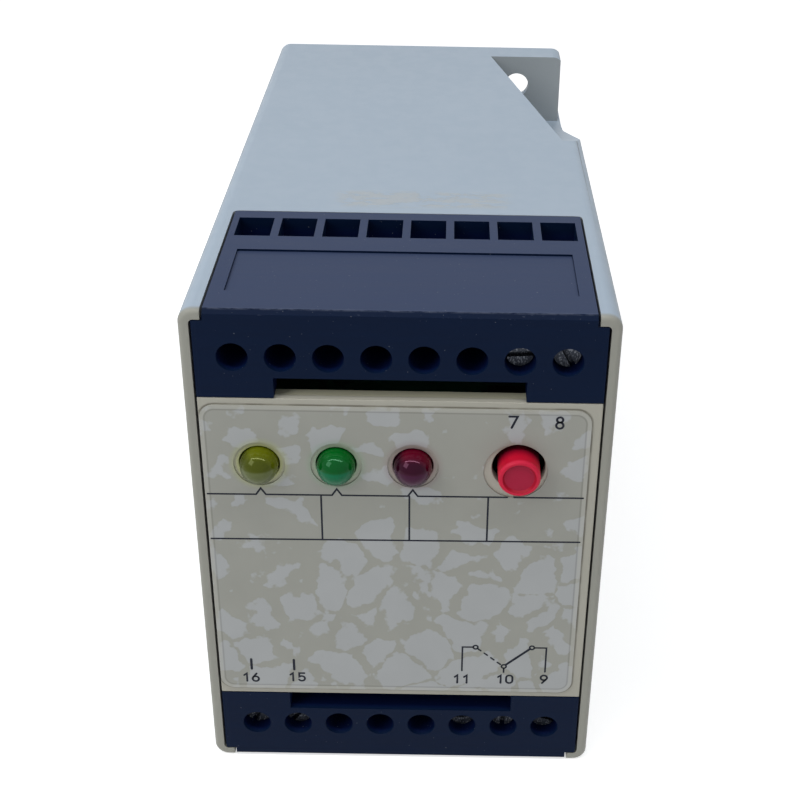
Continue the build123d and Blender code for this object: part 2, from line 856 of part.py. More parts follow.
def transformer():
    """Core, bobbin, windings and pins of the mains transformer, as it stands on the board."""
    end_y = guide_end_y() - transformer_end_gap
    x = inner_half(end_y) - transformer_side_gap - transformer_base_width / 2
    y = end_y - transformer_base_length / 2
    base_z = main_face_z
    core_z = base_z + transformer_base_height
    half_stack = transformer_stack / 2
    leg = transformer_leg / 2
    window_low = core_z + transformer_yoke
    window_high = core_z + transformer_core_height - transformer_yoke
    window_half = transformer_core_width / 2 - transformer_yoke

    core = slab(x - transformer_core_width / 2, x + transformer_core_width / 2, y - half_stack,
                y + half_stack, core_z, core_z + transformer_core_height)
    for side in (-1, 1):
        xs = sorted((x + side * leg, x + side * window_half))
        core -= slab(xs[0], xs[1], y - half_stack - 1, y + half_stack + 1, window_low, window_high)

    flange_x = window_half - bobbin_gap
    flange_y = transformer_base_length / 2 - bobbin_flange_inset
    low, high = window_low + bobbin_gap, window_high - bobbin_gap
    tube_x, tube_y = leg + bobbin_gap + bobbin_wall, half_stack + bobbin_gap + bobbin_wall
    split_z = (low + high) / 2
    bobbin = slab(x - tube_x, x + tube_x, y - tube_y, y + tube_y, low, high)
    for z in (low, split_z - bobbin_wall / 2, high - bobbin_wall):
        bobbin += slab(x - flange_x, x + flange_x, y - flange_y, y + flange_y, z, z + bobbin_wall)
    bobbin += slab(x - transformer_base_width / 2, x + transformer_base_width / 2,
                   y - transformer_base_length / 2, y + transformer_base_length / 2, base_z, core_z)
    for side in (-1, 1):
        ys = sorted((y + side * (half_stack + bobbin_gap), y + side * flange_y))
        bobbin += slab(x - flange_x, x + flange_x, ys[0], ys[1], core_z - bobbin_flange_inset,
                       low + bobbin_wall)
    bobbin -= slab(x - leg - bobbin_gap, x + leg + bobbin_gap, y - half_stack - bobbin_gap,
                   y + half_stack + bobbin_gap, low - 1, high + 1)

    windings = []
    half_web = bobbin_wall / 2
    sections = ((low + bobbin_wall, split_z - half_web), (split_z + half_web, high - bobbin_wall))
    for z0, z1 in sections:
        outer = slab(x - flange_x + winding_gap, x + flange_x - winding_gap,
                     y - flange_y + winding_gap, y + flange_y - winding_gap, z0, z1)
        outer = fillet(outer.edges().filter_by(Axis.Z), winding_radius)
        windings.append(outer - slab(x - tube_x, x + tube_x, y - tube_y, y + tube_y, z0 - 1, z1 + 1))

    pin_row = transformer_base_length / 2 - transformer_pin_inset
    pin_xs = [x + (index - (transformer_pins_per_side - 1) / 2) * transformer_pin_pitch
              for index in range(transformer_pins_per_side)]
    places = [(pin_x, y + side * pin_row) for pin_x in pin_xs for side in (-1, 1)]
    return core, bobbin, windings, leads_down(places, base_z, wire_lead)


def relay():
    """Sealed relay in a moulded cover, with a small vent pip on top."""
    y0 = front + relay_start
    x = inner_half(y0 + relay_width) - relay_side_gap - relay_length / 2
    top = main_face_z + relay_height
    cover = slab(x - relay_length / 2, x + relay_length / 2, y0, y0 + relay_width, main_face_z, top)
    cover = chamfer(cover.edges().filter_by(Axis.Z) + cover.edges().group_by(Axis.Z)[-1], relay_edge)
    cover += rod_z(x - relay_length / 2 + relay_vent_x, y0 + relay_vent_y, top - relay_vent_height,
                   top + relay_vent_height, relay_vent_diameter)
    near, far = y0 + (relay_width - relay_row_pitch) / 2, y0 + (relay_width + relay_row_pitch) / 2
    places = [(x - relay_pin_reach, near), (x - relay_pin_reach, far), (x + relay_contact_x, far),
              (x + relay_pin_reach, near), (x + relay_pin_reach, far)]
    return cover, leads_down(places, main_face_z, wire_lead)


def power_row_x():
    """The row of power components along the left wall."""
    return power_side_gap + smoothing_diameter / 2 - inner_half(guide_end_y())


def smoothing_capacitor():
    """Upright can in a sleeve, with a rolled groove near its foot."""
    x, y = power_row_x(), front + smoothing_y
    can = rod_z(x, y, main_face_z, main_face_z + smoothing_height, smoothing_diameter)
    can = chamfer(can.edges().group_by(Axis.Z)[-1], smoothing_edge)
    groove_z = main_face_z + smoothing_groove_start
    groove_end = groove_z + smoothing_groove_width
    neck = smoothing_diameter - 2 * smoothing_groove_depth
    groove = rod_z(x, y, groove_z, groove_end, smoothing_diameter + 1)
    can -= groove - rod_z(x, y, groove_z - 1, groove_end + 1, neck)
    return can, leads_down([(x - lead_pitch, y), (x + lead_pitch, y)], main_face_z, wire_lead)


def bridge_rectifier():
    """Round rectifier with a flat on one side, on four leads."""
    x, y = power_row_x(), front + rectifier_y
    low = main_face_z + rectifier_stand
    body = rod_z(x, y, low, low + rectifier_height, rectifier_diameter)
    body -= slab(x + rectifier_diameter / 2 - rectifier_flat, x + rectifier_diameter, y - rectifier_diameter,
                 y + rectifier_diameter, low - 1, low + rectifier_height + 1)
    offsets = (-lead_pitch, lead_pitch)
    return body, leads_down([(x + dx, y + dy) for dx in offsets for dy in offsets], low, wire_lead)


def voltage_regulator():
    """Tabbed regulator standing on its three leads."""
    y = front + regulator_y
    half = regulator_width / 2
    x = inner_half(y) - regulator_side_gap - half
    low = main_face_z + regulator_stand
    tab_y = y + regulator_thickness / 2
    body = slab(x - half, x + half, y - regulator_thickness / 2, tab_y, low, low + regulator_body_height)
    tab = slab(x - half, x + half, tab_y - regulator_tab_thickness, tab_y, low, low + regulator_height)
    tab -= rod_y(x, low + regulator_hole_height, y - regulator_thickness, y + regulator_thickness,
                 regulator_hole)
    return body + tab, leads_down([(x + step * lead_pitch, y) for step in (-1, 0, 1)], low, wire_lead)


def suppression_capacitor():
    """Film capacitor in a moulded box."""
    y = front + film_y
    x = film_side_gap + film_width / 2 - inner_half(y)
    body = slab(x - film_width / 2, x + film_width / 2, y - film_length / 2, y + film_length / 2,
                main_face_z, main_face_z + film_height)
    body = chamfer(body.edges().group_by(Axis.Z)[-1], film_edge)
    places = [(x, y - film_lead_pitch / 2), (x, y + film_lead_pitch / 2)]
    return body, leads_down(places, main_face_z, wire_lead)


def varistor():
    """A lacquered disc standing on edge."""
    x, y = power_row_x(), front + varistor_y
    z = main_face_z + varistor_stand + varistor_diameter / 2
    disc = rod_y(x, z, y - varistor_thickness / 2, y + varistor_thickness / 2, varistor_diameter)
    disc = chamfer(disc.edges().filter_by(GeomType.CIRCLE), varistor_thickness / 4)
    foot = z - sqrt((varistor_diameter / 2) ** 2 - lead_pitch ** 2) + lead_sink
    leads = leads_down([(x - lead_pitch, y), (x + lead_pitch, y)], foot, wire_lead)
    return disc, [lead - disc for lead in leads]


def ribbon_headers():
    """A pin header on each board, one above the other, and the ribbon that bulges between them."""
    y = front + header_y
    low_top, high_low = main_face_z + header_height, signal_face_z - header_height
    half = header_length / 2
    lower = slab(-half, half, y - header_width / 2, y + header_width / 2, main_face_z, low_top)
    upper = slab(-half, half, y - header_width / 2, y + header_width / 2, high_low, signal_face_z)
    path = FilletPolyline((0, y, low_top), (0, y, low_top + ribbon_run), (0, y - ribbon_bulge, middle),
                          (0, y, high_low - ribbon_run), (0, y, high_low), radius=ribbon_bend_radius)
    section = Plane(path @ 0, x_dir=(1, 0, 0), z_dir=path % 0) * Rectangle(ribbon_width, ribbon_thickness)
    ribbon = sweep(section, path=path)
    columns = [(index - (header_columns - 1) / 2) * lead_pitch for index in range(header_columns)]
    places = [(x, y + side * lead_pitch / 2) for x in columns for side in (-1, 1)]
    return lower, upper, ribbon, leads_down(places, main_face_z, lead_size), \
        leads_up(places, signal_face_z, lead_size)


# Signal board components, which hang from the board's lower face

def leads_up(places, low, size):
    """Square leads from a component through the signal board."""
    top = solder_face_z + pin_tail
    return [slab(x - size / 2, x + size / 2, y - size / 2, y + size / 2, low, top) for x, y in places]


def comparator_chip():
    """Fourteen-leg chip with a notched end and bent legs."""
    y = front + chip_y
    high = signal_face_z - chip_stand
    low = high - chip_height
    body = slab(chip_x - chip_length / 2, chip_x + chip_length / 2, y - chip_width / 2, y + chip_width / 2,
                low, high)
    body -= rod_z(chip_x - chip_length / 2, y, low - 1, low + chip_notch_depth, chip_notch_diameter)
    legs = []
    middle_z = (low + high) / 2
    for index in range(chip_legs_per_side):
        x = chip_x + (index - (chip_legs_per_side - 1) / 2) * lead_pitch
        for side in (-1, 1):
            row_y = y + side * chip_row_pitch / 2
            ys = sorted((y + side * chip_width / 2, row_y + side * lead_size / 2))
            shelf = slab(x - chip_leg_width / 2, x + chip_leg_width / 2, ys[0], ys[1],
                         middle_z - chip_leg_thickness / 2, middle_z + chip_leg_thickness / 2)
            leg = slab(x - lead_size / 2, x + lead_size / 2, row_y - lead_size / 2, row_y + lead_size / 2,
                       middle_z, solder_face_z + pin_tail)
            legs.append(shelf + leg)
    return body, legs


def axial_parts(x, y, length, diameter, pitch, count):
    """A row of bodies lying against the board, with bent leads at both ends."""
    bodies, leads = [], []
    z = signal_face_z - diameter / 2
    for index in range(count):
        row_y = y + index * pitch
        body = Pos(x, row_y, z) * Rot(0, 90, 0) * Cylinder(diameter / 2, length)
        bodies.append(chamfer(body.edges().filter_by(GeomType.CIRCLE), diameter / 8))
        for side in (-1, 1):
            end_x = x + side * resistor_lead_span / 2
            xs = sorted((x + side * length / 2, end_x + side * wire_lead / 2))
            run = slab(xs[0], xs[1], row_y - wire_lead / 2, row_y + wire_lead / 2,
                       z - wire_lead / 2, z + wire_lead / 2)
            drop = slab(end_x - wire_lead / 2, end_x + wire_lead / 2, row_y - wire_lead / 2,
                        row_y + wire_lead / 2, z, solder_face_z + pin_tail)
            leads.append(run + drop)
    return bodies, leads


def ceramic_capacitors():
    """Small lacquered discs, standing in a row."""
    bodies, leads = [], []
    x = inner_half(guide_end_y()) - ceramic_side_gap - ceramic_diameter / 2
    z = signal_face_z - ceramic_stand - ceramic_diameter / 2
    for index in range(ceramic_count):
        y = front + ceramic_y + index * ceramic_pitch
        disc = rod_y(x, z, y - ceramic_thickness / 2, y + ceramic_thickness / 2, ceramic_diameter)
        disc = chamfer(disc.edges().filter_by(GeomType.CIRCLE), ceramic_thickness / 4)
        bodies.append(disc)
        places = [(x - lead_pitch / 2, y), (x + lead_pitch / 2, y)]
        foot = z + sqrt((ceramic_diameter / 2) ** 2 - (lead_pitch / 2) ** 2) - lead_sink
        leads += [lead - disc for lead in leads_up(places, foot, lead_size)]
    return bodies, leads


def driver_transistor():
    """Half-round moulded transistor on three leads."""
    y = front + transistor_y
    high = signal_face_z - transistor_stand
    body = rod_z(transistor_x, y, high - transistor_height, high, transistor_diameter)
    body -= slab(transistor_x - transistor_diameter, transistor_x + transistor_diameter,
                 y + transistor_flat, y + transistor_diameter, high - 2 * transistor_height, high + 1)
    places = [(transistor_x + step * transistor_lead_pitch, y) for step in (-1, 0, 1)]
    return body, leads_up(places, high, lead_size)


# Write the nodes

os.makedirs("parts", exist_ok=True)

save("housing", housing())
save("rail_latch", rail_latch())
save("latch_spring", latch_spring())

block = terminal_block()
save("upper_terminal_block", block)
save("lower_terminal_block", turned(block))
save("upper_terminal_screws",
     *[terminal_screw(x, angle) for x, angle in zip(upper_screw_xs, upper_slot_angles)])
save("lower_terminal_screws",
     *[turned(terminal_screw(-x, angle)) for x, angle in zip(lower_screw_xs, lower_slot_angles)])
save("upper_terminal_sleeves", *[terminal_sleeve(x) for x in upper_screw_xs])
save("lower_terminal_sleeves", *[turned(terminal_sleeve(-x)) for x in lower_screw_xs])

save("front_plate", front_plate())
save("front_label", front_label())
for colour, x in zip(("yellow", "green", "red"), lamp_xs):
    save(f"lamp_{colour}", lamp(x))
save("lamp_leads", *[lead for x in lamp_xs for lead in lamp_leads(x)])
save("lamp_spacers", *[lamp_spacer(x) for x in lamp_xs])

save("button_cap", button_cap())
save("button_plunger", button_plunger())
save("button_switch", button_switch())
save("button_spring", button_spring())
save("button_switch_pins", *switch_pins())

core, bobbin, windings, transformer_pins = transformer()
save("transformer_core", core)
save("transformer_bobbin", bobbin)
save("transformer_windings", *windings)
save("transformer_pins", *transformer_pins)

main_leads = list(transformer_pins)
for name, (body, leads) in {
    "relay": relay(),
    "smoothing_capacitor": smoothing_capacitor(),
    "bridge_rectifier": bridge_rectifier(),
    "voltage_regulator": voltage_regulator(),
    "suppression_capacitor": suppression_capacitor(),
    "varistor": varistor(),
}.items():
    save(name, body)
    save(f"{name}_leads", *leads)
    main_leads += leads

lower_header, upper_header, ribbon, lower_pins, upper_pins = ribbon_headers()
save("lower_header", lower_header)
save("upper_header", upper_header)
save("lower_header_pins", *lower_pins)
save("upper_header_pins", *upper_pins)
save("ribbon_cable", ribbon)

chip, chip_legs = comparator_chip()
save("comparator_chip", chip)
save("comparator_chip_legs", *chip_legs)
signal_leads = chip_legs + upper_pins + link_pins()
for name, (bodies, leads) in {
    "resistor": axial_parts(resistor_x, front + resistor_y, resistor_length, resistor_diameter,
                            resistor_pitch, resistor_count),
    "diode": axial_parts(diode_x, front + diode_y, diode_length, diode_diameter, diode_pitch, diode_count),
    "ceramic_capacitor": ceramic_capacitors(),
}.items():
    save(f"{name}s", *bodies)
    save(f"{name}_leads", *leads)
    signal_leads += leads
transistor, transistor_leads = driver_transistor()
save("driver_transistor", transistor)
save("driver_transistor_leads", *transistor_leads)
signal_leads += transistor_leads

save("display_board", display_board())
save("link_pins", *link_pins())
save("main_board", main_board(main_leads + lower_pins))
save("signal_board", signal_board(signal_leads))
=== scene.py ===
import json
from math import cos, hypot, pi, radians, sin

import bpy
from mathutils import Matrix, Vector

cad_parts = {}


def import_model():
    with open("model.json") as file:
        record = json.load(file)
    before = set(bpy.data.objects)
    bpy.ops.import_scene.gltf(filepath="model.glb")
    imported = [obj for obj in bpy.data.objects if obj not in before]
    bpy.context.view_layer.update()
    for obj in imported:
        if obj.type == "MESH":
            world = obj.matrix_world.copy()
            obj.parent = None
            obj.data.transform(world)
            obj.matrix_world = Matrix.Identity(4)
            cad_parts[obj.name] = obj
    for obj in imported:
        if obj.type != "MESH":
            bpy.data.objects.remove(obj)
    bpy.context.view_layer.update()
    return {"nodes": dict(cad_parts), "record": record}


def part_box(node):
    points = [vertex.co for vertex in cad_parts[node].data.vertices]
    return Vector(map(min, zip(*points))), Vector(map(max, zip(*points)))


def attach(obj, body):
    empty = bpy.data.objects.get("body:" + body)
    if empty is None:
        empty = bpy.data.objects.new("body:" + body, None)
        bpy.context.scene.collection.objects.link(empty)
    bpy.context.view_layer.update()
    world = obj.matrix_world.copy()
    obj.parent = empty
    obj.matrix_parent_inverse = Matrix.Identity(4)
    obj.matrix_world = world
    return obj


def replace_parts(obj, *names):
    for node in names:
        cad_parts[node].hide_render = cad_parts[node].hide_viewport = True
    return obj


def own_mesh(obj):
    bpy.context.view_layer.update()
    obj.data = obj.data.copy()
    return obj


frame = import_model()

# Dresses the leak detection controller for its picture. Metres, in the same frame as the CAD model:
# +X to the right, +Y from the front into the case, +Z up, origin in the middle of the base.

MM = 0.001

# Places taken from the frame
CASE_LOW, CASE_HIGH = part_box("housing")
FILM_LOW, FILM_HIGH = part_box("front_label")
FRONT = CASE_LOW.y
TOP = CASE_HIGH.z
MIDDLE = TOP / 2

# Camera, from a pinhole fit to the photograph's corners and screw holes
CAMERA_PLACE = (5.549 * MM, -200.428 * MM, 153.568 * MM)
CAMERA_YAW, CAMERA_PITCH, CAMERA_ROLL = radians(-0.234), radians(-29.018), radians(-1.094)
CAMERA_SENSOR, CAMERA_LENS = 36, 61.32
CAMERA_SHIFT = (-0.0625, -0.08125)
CAMERA_NEAR = 0.01

# Print on the label, in millimetres on the front face
LINE_WIDTH = 0.25
BLADE_WIDTH = 0.36
DIGIT_WIDTH = 0.3
DIGIT_SPAN, DIGIT_PITCH = 0.62, 0.92    # shares of a digit's height
INK_HEIGHT = 0.01
CROSSING_HEIGHT = 0.012                 # strokes that run over others
MITRE_LIMIT = 2.0
SAME_PLACE = 1e-6
ROUND_END = (35, 62, 84)                # degrees round the half circle at a stroke's end
FIELD_TOP_LEFT, FIELD_TOP_RIGHT = 47.65, 47.9
FIELD_LOW_LEFT, FIELD_LOW_RIGHT = 40.3, 40.65
FIELD_LEFT, FIELD_RIGHT = -25.4, 24.1
BUTTON_GAP = (14.1, 15.0)
DIVIDERS = (-10.45, 1.2, 11.6)
PEAK_HEIGHT, PEAK_HALF = 1.0, 0.65
FEED_MARKS = (-21.2, -15.15)
FEED_MARK_LOW, FEED_MARK_HIGH = 17.2, 19.0
CONTACT_RING, RING_REACH = 0.33, 0.35   # a ring's radius, and where a line ends at it
CONTACT_LOW = 17.5
CONTACT_OPEN = (10.6, 21.9)
CONTACT_SHUT = (18.55, 21.95)
CONTACT_PIVOT = (14.7, 18.4)
CONTACT_LEFT, CONTACT_RIGHT = 8.75, 20.6
PIVOT_LOW = 17.3
BLADE = ((14.95, 18.7), (18.3, 21.75))
DASH_COUNT = 4
DASH_START, DASH_PITCH, DASH_REACH = (10.9, 21.65), (0.95, -0.83), (0.45, -0.39)
TOP_HEIGHT, LOW_HEIGHT = 1.7, 1.45
NUMBERS = (
    ("7", 14.45, 59.6, TOP_HEIGHT), ("8", 20.4, 59.6, TOP_HEIGHT),
    ("16", -21.4, 15.6, LOW_HEIGHT), ("15", -14.8, 15.8, LOW_HEIGHT),
    ("11", 8.7, 15.9, LOW_HEIGHT), ("10", 14.9, 16.0, LOW_HEIGHT), ("9", 20.5, 16.1, LOW_HEIGHT),
)
FILM_CORNER = 2.0 * MM

# Trace of glue on the case's top
GLUE_X = (-10 * MM, 14 * MM)
GLUE_Y = (-21.3 * MM, -15.8 * MM)

# Lamps
LAMP_TONES = ("yellow", "green", "red")
LENS_RADIUS = 2.5 * MM
LENS_STEP, LENS_SIDES = 3, 96
FLANGE_THICKNESS, FLANGE_EDGE, FLANGE_FILLET = 1.0 * MM, 0.1 * MM, 0.05 * MM
FRAME_START, FRAME_END = 2.9 * MM, 0.05 * MM    # behind the lens's tip, and short of its end
CUP_AXIS, CUP_SIDES = -0.35 * MM, 32
CUP_PROFILE = ((0, 0.45), (0.35, 0.45), (0.75, 0), (0.85, 0), (0.6, 1.2), (0, 1.2))  # radius, depth in mm
LEAD_HALF = 0.2 * MM
STEM = (-1.5 * MM, -0.1 * MM, 1.1 * MM)         # left side, right side and start of a lead
POST = (0.7 * MM, 1.5 * MM, 0.3 * MM)

# Springs
AXIS_Y, AXIS_Z = 1, 2
BUTTON_WIRE, LATCH_WIRE = 0.3 * MM, 0.5 * MM
SPRING_TURNS = 6
SPRING_GAP = 0.05 * MM
SPRING_CLOSE = 1.05                     # pitch of the closed end turns, in wires
SPRING_SIDES, SPRING_STEPS = 8, 24

# Surroundings and light
FLOOR_REACH = 3.0
FLOOR_GLOW = 0.6
FLOOR_DARK, FLOOR_LIGHT = (0.80, 0.80, 0.80, 1), (0.82, 0.82, 0.82, 1)
WORLD_COLOUR = (0.96, 0.98, 1.0, 1)
WORLD_LEFT, WORLD_RIGHT = 0.37, 0.235
LIGHT_TARGET = (0, 0, 0.05)
BAR_PLACE, BAR_SIZE, BAR_POWER = (-0.02, -0.2, 0.6), (1.0, 0.045), 2.1
SOFTBOX_PLACE, SOFTBOX_SIZE, SOFTBOX_POWER = (-0.42, -0.34, 0.44), (0.3, 0.3), 1.2

# Surfaces and edges
CLOUD_LOW, CLOUD_HIGH = 0.3, 0.7        # most of a noise's values lie between these
WAVE_TURN = 20                          # phase of a wave texture, in radians a unit, at a scale of 1
GLUE_CELLS = 170.0
GLUE_WARPS = ((70.0, 0.008), (520.0, 0.0011))   # scale of a noise, and how far it bends the cells
WELD_REACH = 1e-6
FLAT_ANGLE, EDGE_ANGLE, SHARP_ANGLE = radians(0.5), radians(38), radians(35)
EDGE_SEGMENTS = 2


def colour(red, green, blue):
    """A colour as it looks on screen, from 0 to 255, turned into linear light."""
    def linear(value):
        share = value / 255
        return share / 12.92 if share <= 0.04045 else ((share + 0.055) / 1.055) ** 2.4
    return (linear(red), linear(green), linear(blue), 1)


# Node materials

def node(tree, kind, inputs=None, **settings):
    """A shader node whose inputs are set to values or linked to sockets."""
    made = tree.nodes.new(kind)
    for key, value in settings.items():
        setattr(made, key, value)
    for key, value in (inputs or {}).items():
        if isinstance(value, bpy.types.NodeSocket):
            tree.links.new(value, made.inputs[key])
        else:
            made.inputs[key].default_value = value
    return made


def new_material(name):
    """A material, its node tree and its main shader."""
    material = bpy.data.materials.new(name)
    material.use_nodes = True
    tree = material.node_tree
    return material, tree, tree.nodes["Principled BSDF"]


def position(tree):
    """Place on the piece, in metres in the CAD frame."""
    return node(tree, "ShaderNodeTexCoord").outputs["Object"]


def facing_up(tree):
    """Upward part of the surface's direction."""
    return axes(tree, node(tree, "ShaderNodeTexCoord").outputs["Normal"])[2]


def noise(tree, where, scale, detail=3.0, roughness=0.5):
    """Cloudy values about 0.5."""
    made = node(tree, "ShaderNodeTexNoise", {"Vector": where, "Scale": scale, "Detail": detail,
                                             "Roughness": roughness})
    return made.outputs["Fac"]


def stretched(tree, where, x, y, z):
    """The same place with each axis scaled, so that a texture is drawn out along it."""
    return node(tree, "ShaderNodeMapping", {"Vector": where, "Scale": (x, y, z)}).outputs["Vector"]


def steps(tree, value, low, high, result_low=0.0, result_high=1.0, smooth=True):
    """The value's way from low to high, mapped on the result's range and held at its ends."""
    made = node(tree, "ShaderNodeMapRange", {
        "Value": value, "From Min": low, "From Max": high, "To Min": result_low, "To Max": result_high,
    }, interpolation_type="SMOOTHSTEP" if smooth else "LINEAR")
    return made.outputs["Result"]


def maths(tree, operation, first, second=0.0):
    """The result of one sum on two values."""
    made = node(tree, "ShaderNodeMath", {0: first, 1: second}, operation=operation)
    return made.outputs["Value"]


def mixed(tree, share, first, second):
    """A colour between the first, at 0, and the second, at 1."""
    made = tree.nodes.new("ShaderNodeMix")
    made.data_type = "RGBA"
    for index, value in ((0, share), (6, first), (7, second)):
        if isinstance(value, bpy.types.NodeSocket):
            tree.links.new(value, made.inputs[index])
        else:
            made.inputs[index].default_value = value
    return made.outputs[2]


def axes(tree, where):
    """The x, y and z of a place or a direction."""
    made = node(tree, "ShaderNodeSeparateXYZ", {"Vector": where})
    return made.outputs["X"], made.outputs["Y"], made.outputs["Z"]


def between(tree, value, low, high, edge):
    """1 where the value lies between two limits, fading to 0 over the edge."""
    rise = steps(tree, value, low - edge, low + edge)
    fall = steps(tree, value, high - edge, high + edge, 1.0, 0.0)
    return maths(tree, "MULTIPLY", rise, fall)


def bumped(tree, shader, height, depth, strength=1.0):
    """Fine relief on the surface."""
    bump = node(tree, "ShaderNodeBump", {"Height": height, "Distance": depth, "Strength": strength})
    tree.links.new(bump.outputs["Normal"], shader.inputs["Normal"])


def toned(base, factor):
    """A colour with its light scaled."""
    return tuple(min(1, channel * factor) for channel in base[:3]) + (1,)


def surface(tree, shader, base, cloud, smoothest, roughest):
    """Gives the shader a colour, and a roughness that varies with a cloud."""
    tree.links.new(base, shader.inputs["Base Color"])
    shine = steps(tree, cloud, CLOUD_LOW, CLOUD_HIGH, smoothest, roughest)
    tree.links.new(shine, shader.inputs["Roughness"])


def plastic(name, base, roughness, variation=0.04, grain=1400.0, grain_depth=6e-6, specular=0.5):
    """Moulded plastic: a little uneven in colour and gloss, with a fine grain."""
    material, tree, shader = new_material(name)
    where = position(tree)
    cloud = noise(tree, where, 120.0)
    uneven = mixed(tree, cloud, toned(base, 1 - variation), toned(base, 1 + variation))
    surface(tree, shader, uneven, noise(tree, where, 400.0), roughness * 0.9, roughness * 1.1)
    shader.inputs["Specular IOR Level"].default_value = specular
    bumped(tree, shader, noise(tree, where, grain, 2.0), grain_depth)
    return material


def metal(name, base, roughness, variation=0.25):
    """Plated or drawn metal with a tarnish that varies over it."""
    material, tree, shader = new_material(name)
    where = position(tree)
    marks = noise(tree, where, 2200.0, 4.0)
    cloud = noise(tree, where, 700.0)
    uneven = mixed(tree, cloud, toned(base, 1 - variation), base)
    surface(tree, shader, uneven, marks, roughness * 0.7, roughness * 1.3)
    shader.inputs["Metallic"].default_value = 1.0
    bumped(tree, shader, marks, 4e-6)
    return material


def screw_steel():
    """Tarnished steel with bright specks where a driver has scraped it."""
    material, tree, shader = new_material("screw_steel")
    where = position(tree)
    tarnish = noise(tree, where, 1300.0, 3.0)
    specks = steps(tree, noise(tree, stretched(tree, where, 1, 1, 0.5), 5200.0, 3.0), 0.52, 0.62)
    dull = mixed(tree, tarnish, colour(28, 31, 40), colour(76, 80, 88))
    base = mixed(tree, maths(tree, "MULTIPLY", specks, 0.6), dull, colour(136, 140, 148))
    surface(tree, shader, base, tarnish, 0.42, 0.6)
    shader.inputs["Metallic"].default_value = 1.0
    bumped(tree, shader, specks, 6e-6)
    return material


def case_plastic():
    """Pale grey moulding, a little yellowed at the front rim, with a trace of glue on its top, and painted
    light that makes its upward faces lighter and bluer.
    """
    material, tree, shader = new_material("case_plastic")
    where = position(tree)
    x, y, z = axes(tree, where)
    cloud = noise(tree, where, 60.0, 4.0)
    upward = facing_up(tree)
    side = mixed(tree, cloud, colour(150, 157, 161), colour(155, 162, 166))
    # Painted light: the upward faces take a lighter, bluer copy of the grey.
    upper = mixed(tree, cloud, colour(161, 176, 191), colour(165, 180, 195))
    body = mixed(tree, steps(tree, upward, 0.2, 0.9), side, upper)
    rim = steps(tree, y, FRONT + 0.2 * MM, FRONT + 1.2 * MM, 1.0, 0.0)
    aged = mixed(tree, rim, body, colour(147, 147, 138))

    patch = maths(tree, "MULTIPLY", between(tree, x, *GLUE_X, 1.8 * MM),
                  between(tree, y, *GLUE_Y, 0.8 * MM))
    patch = maths(tree, "MULTIPLY", patch, steps(tree, z, TOP - 1 * MM, TOP - 0.5 * MM))
    smear = noise(tree, stretched(tree, where, 1, 2.4, 1), 380.0, 5.0, 0.65)
    glue = maths(tree, "MULTIPLY", patch, steps(tree, smear, 0.46, 0.53))
    base = mixed(tree, maths(tree, "MULTIPLY", glue, 0.6), aged, colour(168, 172, 172))
    tree.links.new(base, shader.inputs["Base Color"])
    shine = steps(tree, noise(tree, where, 500.0), CLOUD_LOW, CLOUD_HIGH, 0.42, 0.52)
    tree.links.new(maths(tree, "SUBTRACT", shine, maths(tree, "MULTIPLY", glue, 0.12)),
                   shader.inputs["Roughness"])
    grain = noise(tree, where, 1800.0, 2.0)
    height = maths(tree, "ADD", maths(tree, "MULTIPLY", grain, 0.3), maths(tree, "MULTIPLY", glue, 2.0))
    bumped(tree, shader, height, 1.5e-5)
    return material


def block_plastic():
    """Navy moulding with faint streaks and dust specks, painted sheen on its upward outer faces, painted
    shade in a deeper blue inside its openings, and its outer edge rubbed pale under a painted highlight.
    """
    material, tree, shader = new_material("block_plastic")
    where = position(tree)
    x, y, z = axes(tree, where)
    streaks = noise(tree, stretched(tree, where, 0.12, 1, 1), 900.0, 4.0, 0.6)
    clean = mixed(tree, streaks, colour(5, 20, 45), colour(10, 26, 52))
    # Painted sheen: the upward outer faces take this lighter, greyer copy of the navy.
    sheen_colour = mixed(tree, streaks, colour(54, 65, 92), colour(62, 73, 100))
    from_middle = maths(tree, "ABSOLUTE", maths(tree, "SUBTRACT", z, MIDDLE))
    upward = facing_up(tree)
    outside = steps(tree, from_middle, MIDDLE - 1.2 * MM, MIDDLE - 0.8 * MM)
    top_sheen = maths(tree, "MULTIPLY", outside, steps(tree, upward, 0.85, 0.95))
    base = mixed(tree, top_sheen, clean, sheen_colour)
    # Painted shade: inside the openings the navy turns a deeper blue.
    depth = maths(tree, "MULTIPLY", steps(tree, y, FRONT + 0.1 * MM, FRONT + 1.0 * MM),
                  steps(tree, from_middle, MIDDLE - 2.5 * MM, MIDDLE - 0.9 * MM, 1.0, 0.0))
    base = mixed(tree, depth, base, colour(8, 21, 58))
    rub = noise(tree, stretched(tree, where, 0.35, 1, 1), 2600.0, 5.0, 0.7)
    # Painted highlight along the outer edge, patchy like wear; the flecks below it are wear.
    lip_highlight = maths(tree, "MULTIPLY", steps(tree, from_middle, MIDDLE - 0.2 * MM, MIDDLE - 0.05 * MM),
                between(tree, y, FRONT + 0.4 * MM, FRONT + 0.72 * MM, 0.06 * MM))
    flecks = between(tree, maths(tree, "SUBTRACT", from_middle, y),
                     MIDDLE - FRONT - 0.8 * MM, MIDDLE - FRONT - 0.4 * MM, 0.1 * MM)
    wear_and_highlight = maths(tree, "MAXIMUM", maths(tree, "MULTIPLY", lip_highlight, steps(tree, rub, 0.35, 0.6)),
                 maths(tree, "MULTIPLY", flecks, steps(tree, rub, 0.62, 0.74)))
    base = mixed(tree, maths(tree, "MULTIPLY", wear_and_highlight, 0.26), base, colour(116, 124, 146))
    dust = steps(tree, noise(tree, where, 2600.0, 1.0), 0.755, 0.785)
    base = mixed(tree, maths(tree, "MULTIPLY", dust, 0.3), base, colour(140, 144, 152))
    surface(tree, shader, base, streaks, 0.4, 0.5)
    shader.inputs["Specular IOR Level"].default_value = 0.06
    bumped(tree, shader, maths(tree, "ADD", noise(tree, where, 1500.0, 2.0), streaks), 6e-6)
    return material


